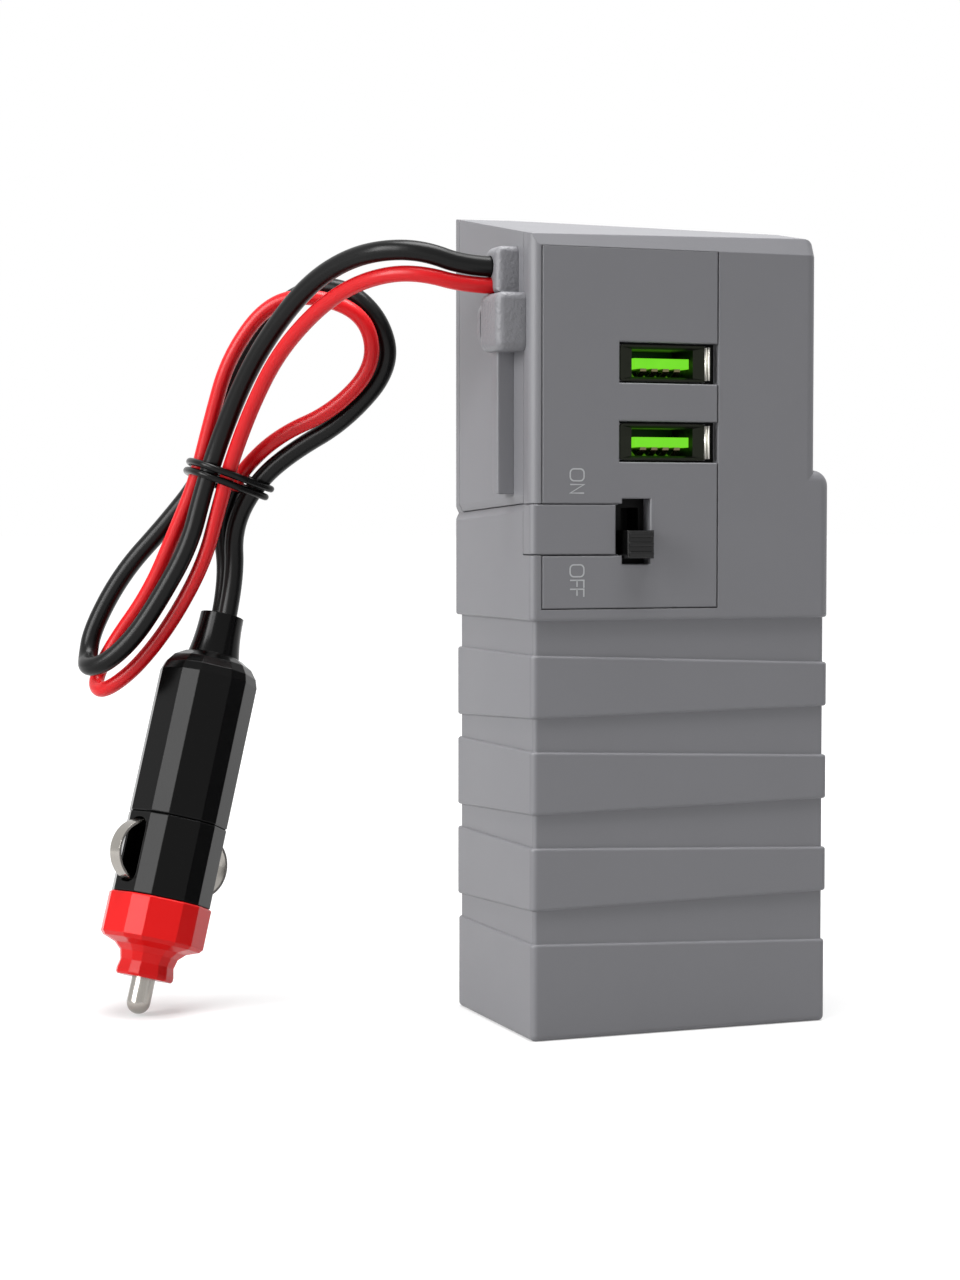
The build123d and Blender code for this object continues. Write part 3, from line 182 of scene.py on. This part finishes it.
def noise(tree, place, scale, detail=3.0, stretch=None):
    """Noise of a given scale, drawn out along an axis if asked."""
    if stretch:
        mapping = tree.nodes.new("ShaderNodeMapping")
        mapping.inputs["Scale"].default_value = stretch
        tree.links.new(place, mapping.inputs["Vector"])
        place = mapping.outputs["Vector"]
    node = tree.nodes.new("ShaderNodeTexNoise")
    node.inputs["Scale"].default_value = scale
    node.inputs["Detail"].default_value = detail
    tree.links.new(place, node.inputs["Vector"])
    return node.outputs["Fac"]


def spread(tree, value, start, end, low, high):
    """Value from one range spread over another."""
    node = tree.nodes.new("ShaderNodeMapRange")
    node.inputs["From Min"].default_value = start
    node.inputs["From Max"].default_value = end
    node.inputs["To Min"].default_value = low
    node.inputs["To Max"].default_value = high
    tree.links.new(value, node.inputs["Value"])
    return node.outputs["Result"]


def ranged(tree, value, low, high):
    """The middle of a noise spread over a range."""
    return spread(tree, value, 0.3, 0.7, low, high)


def axis_place(tree, axis):
    """Place on the object along one axis, in metres."""
    split = tree.nodes.new("ShaderNodeSeparateXYZ")
    tree.links.new(object_place(tree), split.inputs["Vector"])
    return split.outputs[axis]


def mixed(tree, factor, first, second):
    """Colour between two, by a factor."""
    node = tree.nodes.new("ShaderNodeMix")
    node.data_type = "RGBA"
    tree.links.new(factor, node.inputs["Factor"])
    node.inputs["A"].default_value = (*first, 1.0)
    node.inputs["B"].default_value = (*second, 1.0)
    return node.outputs["Result"]


def bumped(tree, height, depth, edge=0.0):
    """Normal of a relief of a given depth in metres, over soft edges if asked."""
    bump = tree.nodes.new("ShaderNodeBump")
    bump.inputs["Strength"].default_value = 1.0
    bump.inputs["Distance"].default_value = depth
    tree.links.new(height, bump.inputs["Height"])
    if edge:
        bevel = tree.nodes.new("ShaderNodeBevel")
        bevel.samples = 6
        bevel.inputs["Radius"].default_value = edge
        tree.links.new(bevel.outputs["Normal"], bump.inputs["Normal"])
    return bump.outputs["Normal"]


def linear(red, green, blue):
    """Linear colour of an sRGB one given from 0 to 255."""
    shares = [value / 255 for value in (red, green, blue)]
    return tuple(share / 12.92 if share <= 0.04045 else ((share + 0.055) / 1.055) ** 2.4 for share in shares)


def shade(colour, factor):
    """Colour made lighter or darker."""
    return tuple(min(1.0, value * factor) for value in colour)


# Materials

def plastic(name, colour, rough, grain, depth, edge=0.0, cloud=60.0, change=0.04, specular=0.5):
    """Moulded plastic: faint clouding, fine grain and uneven gloss."""
    material, tree, shader = new_material(name)
    place = object_place(tree)
    clouds = noise(tree, place, cloud, 4.0)
    fine = noise(tree, place, grain, 2.0)
    tree.links.new(mixed(tree, clouds, shade(colour, 1 - change), shade(colour, 1 + change)),
                   shader.inputs["Base Color"])
    tree.links.new(ranged(tree, clouds, rough * 0.93, rough * 1.07), shader.inputs["Roughness"])
    tree.links.new(bumped(tree, fine, depth, edge), shader.inputs["Normal"])
    shader.inputs["Specular IOR Level"].default_value = specular
    return material


def sparked_plastic(colour):
    """Grey plastic, spark-textured on the two lobes and smooth on the bar under them."""
    material = plastic("strain_grey", colour, 0.48, 1500.0, SPARK_DEPTH, 0.0003, change=0.06)
    tree = material.node_tree
    height = axis_place(tree, "Z")
    depth = spread(tree, height, CLIP_BOTTOM - SPARK_FADE, CLIP_BOTTOM, SPARK_DEPTH / 15, SPARK_DEPTH)
    for node in tree.nodes:
        if node.bl_idname == "ShaderNodeBump":
            tree.links.new(depth, node.inputs["Distance"])
    return material


def metal(name, colour, rough, stretch, edge=0.0):
    """Metal with fine drawn lines along one way."""
    material, tree, shader = new_material(name)
    place = object_place(tree)
    lines = noise(tree, place, 900.0, 3.0, stretch)
    clouds = noise(tree, place, 150.0, 3.0)
    tree.links.new(mixed(tree, clouds, shade(colour, 0.93), shade(colour, 1.04)), shader.inputs["Base Color"])
    tree.links.new(ranged(tree, lines, rough * 0.75, rough * 1.3), shader.inputs["Roughness"])
    tree.links.new(bumped(tree, lines, 0.000006, edge), shader.inputs["Normal"])
    shader.inputs["Metallic"].default_value = 1.0
    return material


def tongue_painted_glow():
    """Green plastic with a painted glow along the tongue that stands in for its brightness, over a darkened
    base colour; the block that it stands on shows only the dark base.
    """
    material, tree, shader = new_material("tongue_painted_glow")
    place = object_place(tree)
    clouds = noise(tree, place, 300.0, 2.0)
    green = mixed(tree, clouds, linear(108, 216, 34), linear(126, 228, 48))
    # Painted glow: emission on the tongue's front part, though nothing in it is a lamp
    painted_glow = spread(tree, axis_place(tree, "Y"), TONGUE_ROOT - GLOW_FADE, TONGUE_ROOT, 1.0, 0.0)
    tree.links.new(green, shader.inputs["Emission Color"])
    tree.links.new(painted_glow, shader.inputs["Emission Strength"])
    # Base colour darkened so that the painted glow carries the tongue's brightness
    tree.links.new(mixed(tree, clouds, linear(12, 34, 8), linear(16, 44, 10)), shader.inputs["Base Color"])
    tree.links.new(ranged(tree, clouds, 0.3, 0.4), shader.inputs["Roughness"])
    shader.inputs["Specular IOR Level"].default_value = 0.1
    return material


def circuit_board():
    """Green board with darker tracks under its lacquer."""
    material, tree, shader = new_material("circuit_board")
    place = object_place(tree)
    tracks = tree.nodes.new("ShaderNodeTexBrick")
    tracks.inputs["Scale"].default_value = 180.0
    tracks.inputs["Mortar Size"].default_value = 0.06
    tracks.inputs["Color1"].default_value = (*linear(22, 84, 48), 1.0)
    tracks.inputs["Color2"].default_value = (*linear(26, 92, 54), 1.0)
    tracks.inputs["Mortar"].default_value = (*linear(14, 62, 34), 1.0)
    tree.links.new(place, tracks.inputs["Vector"])
    tree.links.new(tracks.outputs["Color"], shader.inputs["Base Color"])
    tree.links.new(ranged(tree, noise(tree, place, 400.0), 0.3, 0.42), shader.inputs["Roughness"])
    tree.links.new(bumped(tree, tracks.outputs["Fac"], 0.00002), shader.inputs["Normal"])
    return material


def clear_glass():
    """Thin glass of the fuse."""
    material, tree, shader = new_material("fuse_glass")
    place = object_place(tree)
    tree.links.new(ranged(tree, noise(tree, place, 200.0), 0.02, 0.08), shader.inputs["Roughness"])
    shader.inputs["Base Color"].default_value = (0.9, 0.93, 0.92, 1.0)
    shader.inputs["Transmission Weight"].default_value = 0.9
    shader.inputs["IOR"].default_value = 1.5
    return material


def make_materials():
    """Every material by its name, which is that of its slot where it has one."""
    grey = linear(124, 124, 128)
    return {
        "housing_grey": plastic("housing_grey", grey, 0.46, 6000.0, 0.000012, 0.0003),
        "panel_grey": plastic("panel_grey", shade(grey, 0.99), 0.44, 6000.0, 0.00001, 0.0002),
        "strain_grey": sparked_plastic(shade(grey, 1.04)),
        "outlet_face": plastic("outlet_face", linear(30, 30, 32), 0.42, 5000.0, 0.00001, 0.0002),
        "knob_black": plastic("knob_black", linear(7, 7, 7), 0.18, 3000.0, 0.000006, 0.00015, specular=0.3),
        "switch_black": plastic("switch_black", linear(8, 8, 8), 0.5, 3000.0, 0.00001, specular=0.1),
        # Shell steel darkened as painted shade of the recessed socket, with a painted green cast from the
        # tongue's glow
        "shell_steel": metal("shell_steel", linear(38, 40, 34), 0.4, (0.2, 1.0, 1.0)),
        "tongue_green": tongue_painted_glow(),
        "contact_brass": metal("contact_brass", linear(120, 112, 84), 0.35, (1.0, 0.2, 1.0)),
        "board_green": circuit_board(),
        "ferrite": plastic("ferrite", linear(44, 42, 42), 0.6, 2500.0, 0.00003),
        "sink_aluminium": metal("sink_aluminium", linear(196, 198, 202), 0.35, (1.0, 1.0, 0.05)),
        "package_black": plastic("package_black", linear(22, 22, 24), 0.5, 4000.0, 0.00001),
        "can_sleeve": plastic("can_sleeve", linear(30, 34, 62), 0.3, 1200.0, 0.000006),
        "screw_steel": metal("screw_steel", linear(120, 120, 124), 0.35, (1.0, 1.0, 1.0)),
        "plug_black": plastic("plug_black", linear(5, 5, 5), 0.17, 700.0, 0.000003, 0.0003, specular=0.12),
        "cap_red": plastic("cap_red", linear(222, 22, 22), 0.24, 900.0, 0.000004, 0.0003, specular=0.16),
        "nickel": metal("nickel", linear(160, 156, 150), 0.2, (1.0, 1.0, 0.3), 0.0001),
        "spring_steel": metal("spring_steel", linear(170, 170, 172), 0.28, (1.0, 1.0, 1.0)),
        "fuse_glass": clear_glass(),
        "wire_black": plastic("wire_black", linear(9, 9, 9), 0.3, 900.0, 0.000012, specular=0.18),
        "wire_red": plastic("wire_red", linear(222, 18, 26), 0.33, 900.0, 0.000012, specular=0.3),
        "sleeve_black": plastic("sleeve_black", linear(7, 7, 7), 0.34, 1400.0, 0.00001, specular=0.16),
        "tie_black": plastic("tie_black", linear(6, 6, 6), 0.26, 1400.0, 0.000006, specular=0.18),
        # Black sheet that stands in for the shade in the socket windows
        "shade_sheet_black": plastic("shade_sheet_black", linear(10, 10, 10), 0.7, 4000.0, 0.00002, specular=0.1),
        "lip_steel": metal("lip_steel", linear(214, 212, 204), 0.45, (1.0, 1.0, 0.2)),
        "lettering": plastic("lettering", linear(188, 190, 192), 0.5, 3000.0, 0.000005),
    }


def dress_nodes(materials):
    """Give every solid the material of its slot."""
    for part in frame["record"]["subparts"]:
        shown = frame["nodes"][part["node"]]
        material = materials[part["material_slot"]]
        for slot in shown.material_slots:
            slot.material = material


# Cords

def cord_curve(name, route, diameter, material):
    """Smooth round cord whose control points are its route."""
    curve = bpy.data.curves.new(name, "CURVE")
    curve.dimensions = "3D"
    spline = curve.splines.new("NURBS")
    spline.points.add(len(route) - 1)
    for point, place in zip(spline.points, route):
        point.co = (*(value * MM for value in place), 1.0)
    spline.order_u = 3
    spline.use_endpoint_u = True
    curve.resolution_u = 16
    curve.bevel_depth = diameter / 2
    curve.bevel_resolution = 8
    curve.use_fill_caps = True
    cord = bpy.data.objects.new(name, curve)
    bpy.context.scene.collection.objects.link(cord)
    curve.materials.append(material)
    return cord


def centre_line(cord):
    """Points along a cord's own smooth line."""
    bare = cord.data.copy()
    bare.bevel_depth = 0.0
    carrier = bpy.data.objects.new("centre_line", bare)
    mesh = bpy.data.meshes.new_from_object(carrier)
    points = [vertex.co.copy() for vertex in mesh.vertices]
    bpy.data.objects.remove(carrier)
    bpy.data.meshes.remove(mesh)
    bpy.data.curves.remove(bare)
    return points


def tube_rings(points, radius, sides):
    """Rings of points round a line, turned as little as can be from one to the next."""
    rings = []
    side = None
    for index, place in enumerate(points):
        before = points[max(index - 1, 0)]
        after = points[min(index + 1, len(points) - 1)]
        along = (after - before).normalized()
        if side is None:
            side = along.orthogonal().normalized()
        side = (side - along * side.dot(along)).normalized()
        other = along.cross(side)
        ring = []
        for step in range(sides):
            turn = 2 * math.pi * step / sides
            ring.append(place + (side * math.cos(turn) + other * math.sin(turn)) * radius)
        rings.append(ring)
    return rings


def skin(work, rings, capped=True):
    """Faces from each ring of points to the next, and over both ends if asked."""
    for ring, following in zip(rings, rings[1:]):
        for step in range(len(ring)):
            after = (step + 1) % len(ring)
            work.faces.new((ring[step], ring[after], following[after], following[step]))
    if capped:
        work.faces.new(list(reversed(rings[0])))
        work.faces.new(rings[-1])


def smooth_sides(work):
    """Smooth shading on the four-sided faces."""
    for face in work.faces:
        face.smooth = len(face.verts) == 4


def tube_mesh(name, points, radius, material, sides=32):
    """Closed tube along a line."""
    work = bmesh.new()
    skin(work, [[work.verts.new(place) for place in ring] for ring in tube_rings(points, radius, sides)])
    smooth_sides(work)
    return mesh_piece(name, work, material)


def mesh_piece(name, work, material):
    """Object made from a finished mesh."""
    bmesh.ops.recalc_face_normals(work, faces=work.faces)
    mesh = bpy.data.meshes.new(name)
    work.to_mesh(mesh)
    work.free()
    piece = bpy.data.objects.new(name, mesh)
    bpy.context.scene.collection.objects.link(piece)
    mesh.materials.append(material)
    return piece


def fixed_piece(name, work, material):
    """New piece that stays with the housing, in a given material."""
    piece = mesh_piece(name, work, material)
    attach(piece, "inverter")


def sleeve_tube(red, material):
    """Sleeve on the red wire's own line, from inside the tie to the plug."""
    line = centre_line(red)
    start = (Vector(RED_ROUTE[SLEEVE_START]) + Vector(RED_ROUTE[SLEEVE_START + 1])) * MM / 2
    first = min(range(len(line)), key=lambda index: (line[index] - start).length)
    points = line[first:]
    return tube_mesh("sleeve_tube", points, SLEEVE_DIAMETER / 2, material)


def make_coil(material):
    """Spring behind the fuse, which shortens when the tip is pressed in."""
    tip = Vector(PLUG_TIP)
    axis = Vector(PLUG_AXIS)
    across = axis.orthogonal().normalized()
    other = axis.cross(across)
    count = COIL_STEPS * COIL_TURNS
    points = []
    for step in range(count + 1):
        turn = 2 * math.pi * COIL_TURNS * step / count
        middle = tip + axis * (COIL_START + (COIL_END - COIL_START) * step / count)
        points.append((middle + (across * math.cos(turn) + other * math.sin(turn)) * COIL_RADIUS) * MM)
    coil = tube_mesh("tip_coil", points, COIL_WIRE * MM / 2, material, COIL_SIDES)
    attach(coil, "inverter")
    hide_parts("tip_spring")
    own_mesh(coil)
    return coil


def make_cords(materials):
    """Both wires, the sleeve on the red one and the tie round them."""
    plug = [frame["nodes"][name] for name in PLUG_NODES] + [make_coil(materials["spring_steel"])]
    black = cord_curve("black_cord", BLACK_ROUTE, BLACK_DIAMETER, materials["wire_black"])
    red = cord_curve("red_cord", RED_ROUTE, RED_DIAMETER, materials["wire_red"])
    sleeve = sleeve_tube(red, materials["sleeve_black"])
    tie = cord_curve("tie_loop", TIE_ROUTE, TIE_DIAMETER, materials["tie_black"])
    for piece, node, slot in (
            (black, "black_wire", "wire_black"), (red, "red_wire", "wire_red"),
            (sleeve, "wire_sleeve", "sleeve_black"), (tie, "cord_tie", "tie_black")):
        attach(piece, "inverter")
        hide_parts(node)


# Lettering

def letter_o():
    """Centre line of an O with round corners, back to its start."""
    half = LETTER_STROKE / 2
    low = half + O_RADIUS
    high = LETTER_HEIGHT - half - O_RADIUS
    first = half + O_RADIUS
    last = O_WIDTH - half - O_RADIUS
    points = []
    for x, z, begin in ((high, first, -90), (high, last, 0), (low, last, 90), (low, first, 180)):
        for step in range(7):
            turn = math.radians(begin + 15 * step)
            points.append((x + O_RADIUS * math.cos(turn), z + O_RADIUS * math.sin(turn)))
    return points + points[:1]


def letter_n(low, high):
    """Centre line of the N."""
    return [(low, N_TOP), (high, N_TOP), (low, N_TOP + N_WIDTH), (high, N_TOP + N_WIDTH)]


def letter_f(low, high, top):
    """Centre lines of an F: its stem with its upper arm, and its middle arm."""
    middle = low + F_MIDDLE
    return [[(low, top), (high, top), (high, top + F_WIDTH)], [(middle, top), (middle, top + F_ARM)]]


def letter_strokes():
    """Centre lines of each word's letters: across the letter's height, and down from the word's top."""
    low = LETTER_STROKE / 2
    high = LETTER_HEIGHT - low
    off = [letter_o()]
    for top in F_TOPS:
        off += letter_f(low, high, top)
    return {"on_word": (ON_TOP, [letter_o(), letter_n(low, high)]), "off_word": (OFF_TOP, off)}


def stroke_faces(work, points):
    """Flat band along a line on the panel, a little proud of it."""
    closed = points[0] == points[-1]
    line = [Vector(point) for point in points]
    ends = (line[-2], line[1]) if closed else (line[0], line[-1])
    back = LETTER_FACE + LETTER_SUNK
    face = LETTER_FACE - LETTER_PROUD
    rows = []
    for before, here, after in zip([ends[0]] + line, line, line[1:] + [ends[1]]):
        first = (here - before).normalized() if (here - before).length else (after - here).normalized()
        second = (after - here).normalized() if (after - here).length else first
        turned = Vector((-first.y, first.x))
        across = (turned + Vector((-second.y, second.x))).normalized()
        reach = across * (LETTER_STROKE / 2 / max(across.dot(turned), LEAST_MITRE))
        outer = here + reach
        inner = here - reach
        section = ((outer, back), (inner, back), (inner, face), (outer, face))
        rows.append([work.verts.new((place.x * MM, y * MM, place.y * MM)) for place, y in section])
    skin(work, rows, not closed)


def make_lettering(material):
    """The words beside the switch, turned to read downwards."""
    for name, (top, strokes) in letter_strokes().items():
        work = bmesh.new()
        for stroke in strokes:
            stroke_faces(work, [(LETTER_LEFT + x, top - z) for x, z in stroke])
        piece = mesh_piece(name, work, material)
        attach(piece, "inverter")


# Sockets

def framed(work, outer, inner, y0, y1):
    """Flat ring between two rectangles, with soft outer and inner rims."""
    edge = y1 + RIM_SOFTNESS
    loops = []
    for (x0, x1, z0, z1), y in (
            (outer, y0), (outer, edge), (grown(outer, -RIM_SOFTNESS), y1),
            (grown(inner, RIM_SOFTNESS), y1), (inner, edge), (inner, y0)):
        places = ((x0, z0), (x1, z0), (x1, z1), (x0, z1))
        loops.append([work.verts.new((x * MM, y * MM, z * MM)) for x, z in places])
    skin(work, loops + loops[:1], capped=False)


def grown(box, amount):
    """Rectangle made larger by an amount on each side."""
    x0, x1, z0, z1 = box
    return x0 - amount, x1 + amount, z0 - amount, z1 + amount


def make_shade_sheet(name, z, material):
    """Dark sheet of painted shade that fills the window's floor round a socket's flange."""
    window = (*WINDOW_SIDES, z - WINDOW_HEIGHT / 2, z + WINDOW_HEIGHT / 2)
    flange = (
        PORT_X - FLANGE_WIDTH / 2, PORT_X + FLANGE_WIDTH / 2,
        z - FLANGE_HEIGHT / 2, z + FLANGE_HEIGHT / 2)
    work = bmesh.new()
    framed(work, grown(window, -SHADE_SHEET_PLAY), grown(flange, SHADE_SHEET_PLAY), WALL_FACE, WALL_FACE - SHADE_SHEET_PROUD)
    fixed_piece(name, work, material)


def make_lip(name, z, material):
    """Bright lip bent forward from the right edge of a socket's flange."""
    work = bmesh.new()
    half = FLANGE_HEIGHT / 2 - LIP_END_GAP
    rows = []
    for step in range(LIP_STEPS + 1):
        turn = math.radians(90 * step / LIP_STEPS)
        x = PORT_X + FLANGE_WIDTH / 2 + LIP_REACH * (LIP_TURN * math.sin(turn) - LIP_SET_IN)
        y = FLANGE_FACE - LIP_THICKNESS / 2 - (LIP_REACH - LIP_THICKNESS) * (1 - math.cos(turn))
        across = Vector((math.sin(turn), -math.cos(turn), 0)) * LIP_THICKNESS / 2
        row = []
        for side, height in ((1, -half), (1, half), (-1, half), (-1, -half)):
            row.append(work.verts.new((Vector((x, y, z + height)) + across * side) * MM))
        rows.append(row)
    skin(work, rows)
    smooth_sides(work)
    fixed_piece(name, work, material)


def make_springs(name, z, material):
    """Four contact springs bowed down from the underside of a socket's tongue."""
    work = bmesh.new()
    for index in range(SPRING_COUNT):
        x = PORT_X + (index - (SPRING_COUNT - 1) / 2) * SPRING_PITCH
        left = x - SPRING_WIDTH / 2
        right = x + SPRING_WIDTH / 2
        rows = []
        for step in range(SPRING_STEPS + 1):
            part = step / SPRING_STEPS
            y = TONGUE_TIP + SPRING_START + SPRING_LENGTH * part
            top = z - TONGUE_HEIGHT / 2 - SPRING_GAP - SPRING_DROP * math.sin(math.pi * part) ** SPRING_BOW
            low = top - SPRING_THICKNESS
            places = ((left, top), (right, top), (right, low), (left, low))
            rows.append([work.verts.new((across * MM, y * MM, height * MM)) for across, height in places])
        skin(work, rows)
    fixed_piece(name, work, material)


def make_sockets(materials):
    """What the solids leave out round each socket."""
    for name, z in zip(("upper", "lower"), PORT_HEIGHTS):
        make_springs("springs_" + name, z, materials["contact_brass"])
        make_shade_sheet("shade_sheet_" + name, z, materials["shade_sheet_black"])
        make_lip("lip_" + name, z, materials["lip_steel"])


# Stage

def white_to_the_eye(tree):
    """1 where the camera, a reflection or glass looks, else 0."""
    path = tree.nodes.new("ShaderNodeLightPath")
    factor = path.outputs["Is Camera Ray"]
    for name in ("Is Glossy Ray", "Is Transmission Ray"):
        larger = tree.nodes.new("ShaderNodeMath")
        larger.operation = "MAXIMUM"
        tree.links.new(factor, larger.inputs[0])
        tree.links.new(path.outputs[name], larger.inputs[1])
        factor = larger.outputs["Value"]
    return factor


def make_world(level):
    """White background over an even, softer light."""
    world = bpy.data.worlds.new("studio")
    bpy.context.scene.world = world
    world.use_nodes = True
    tree = world.node_tree
    plain = tree.nodes["Background"]
    plain.inputs["Color"].default_value = (1.0, 1.0, 1.0, 1.0)
    plain.inputs["Strength"].default_value = level
    white = tree.nodes.new("ShaderNodeBackground")
    white.inputs["Color"].default_value = (1.0, 1.0, 1.0, 1.0)
    white.inputs["Strength"].default_value = 1.0
    mix = tree.nodes.new("ShaderNodeMixShader")
    tree.links.new(white_to_the_eye(tree), mix.inputs["Fac"])
    tree.links.new(plain.outputs["Background"], mix.inputs[1])
    tree.links.new(white.outputs["Background"], mix.inputs[2])
    tree.links.new(mix.outputs["Shader"], tree.nodes["World Output"].inputs["Surface"])


def make_floor():
    """Pale floor that fades to white away from the object and keeps the shadow near it."""
    bpy.ops.mesh.primitive_plane_add(size=FLOOR_SIZE, location=(0, 0, 0))
    floor = bpy.context.object
    floor.name = "floor"
    material, tree, shader = new_material("floor")
    shader.inputs["Base Color"].default_value = (FLOOR_SHADE, FLOOR_SHADE, FLOOR_SHADE, 1.0)
    shader.inputs["Roughness"].default_value = 1.0
    shader.inputs["Specular IOR Level"].default_value = 0.0
    reach = tree.nodes.new("ShaderNodeVectorMath")
    reach.operation = "LENGTH"
    tree.links.new(object_place(tree), reach.inputs[0])
    rise = spread(tree, reach.outputs["Value"], FLOOR_NEAR, FLOOR_FAR, FLOOR_GLOW, 1.0)
    seen = tree.nodes.new("ShaderNodeMath")
    seen.operation = "MULTIPLY"
    tree.links.new(rise, seen.inputs[0])
    tree.links.new(white_to_the_eye(tree), seen.inputs[1])
    painted_glow = tree.nodes.new("ShaderNodeEmission")
    tree.links.new(seen.outputs["Value"], painted_glow.inputs["Strength"])
    both = tree.nodes.new("ShaderNodeAddShader")
    tree.links.new(shader.outputs["BSDF"], both.inputs[0])
    tree.links.new(painted_glow.outputs["Emission"], both.inputs[1])
    tree.links.new(both.outputs["Shader"], tree.nodes["Material Output"].inputs["Surface"])
    floor.data.materials.append(material)


def make_lamp(name, place, target, size, power):
    """Soft rectangular lamp aimed at a point."""
    data = bpy.data.lights.new(name, "AREA")
    data.shape = "RECTANGLE"
    data.size, data.size_y = size
    data.energy = power
    lamp = bpy.data.objects.new(name, data)
    lamp.location = place
    lamp.rotation_euler = (Vector(target) - Vector(place)).to_track_quat("-Z", "Y").to_euler()
    bpy.context.scene.collection.objects.link(lamp)
    return lamp


def make_lamps():
    """Lamps on the left and above, and a strip that only shows as a reflection in the plug's facet."""
    make_lamp("left_lamp", (-0.84, -0.16, 0.42), OBJECT_MIDDLE, (0.22, 0.55), 5.8)
    make_lamp("top_lamp", (0.0, -0.05, 0.95), OBJECT_MIDDLE, (0.6, 0.5), 12.5)
    strip = make_lamp("gloss_strip", (-0.776, -0.417, 0.39), PLUG_MIDDLE, (0.22, 0.6), 4.0)
    strip.visible_diffuse = False


def make_camera():
    """Camera at the photograph's place."""
    data = bpy.data.cameras.new("camera")
    data.sensor_fit = "VERTICAL"
    data.sensor_height = SENSOR_HEIGHT
    data.lens = CAMERA_LENS
    camera = bpy.data.objects.new("camera", data)
    camera.location = CAMERA_PLACE
    camera.rotation_euler = [math.radians(turn) for turn in CAMERA_TURN]
    bpy.context.scene.collection.objects.link(camera)
    bpy.context.scene.camera = camera


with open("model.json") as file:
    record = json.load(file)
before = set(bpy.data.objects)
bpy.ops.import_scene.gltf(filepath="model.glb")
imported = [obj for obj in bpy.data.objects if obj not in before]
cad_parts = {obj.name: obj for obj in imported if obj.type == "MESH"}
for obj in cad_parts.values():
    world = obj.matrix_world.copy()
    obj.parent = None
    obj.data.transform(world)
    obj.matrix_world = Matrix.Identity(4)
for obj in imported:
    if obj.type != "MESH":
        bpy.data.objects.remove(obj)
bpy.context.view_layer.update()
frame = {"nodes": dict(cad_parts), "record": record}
bpy.context.scene.view_settings.view_transform = "Standard"
made = make_materials()
dress_nodes(made)
make_cords(made)
make_lettering(made["lettering"])
make_sockets(made)
make_camera()
make_world(WORLD_LEVEL)
make_floor()
make_lamps()
bpy.context.view_layer.update()
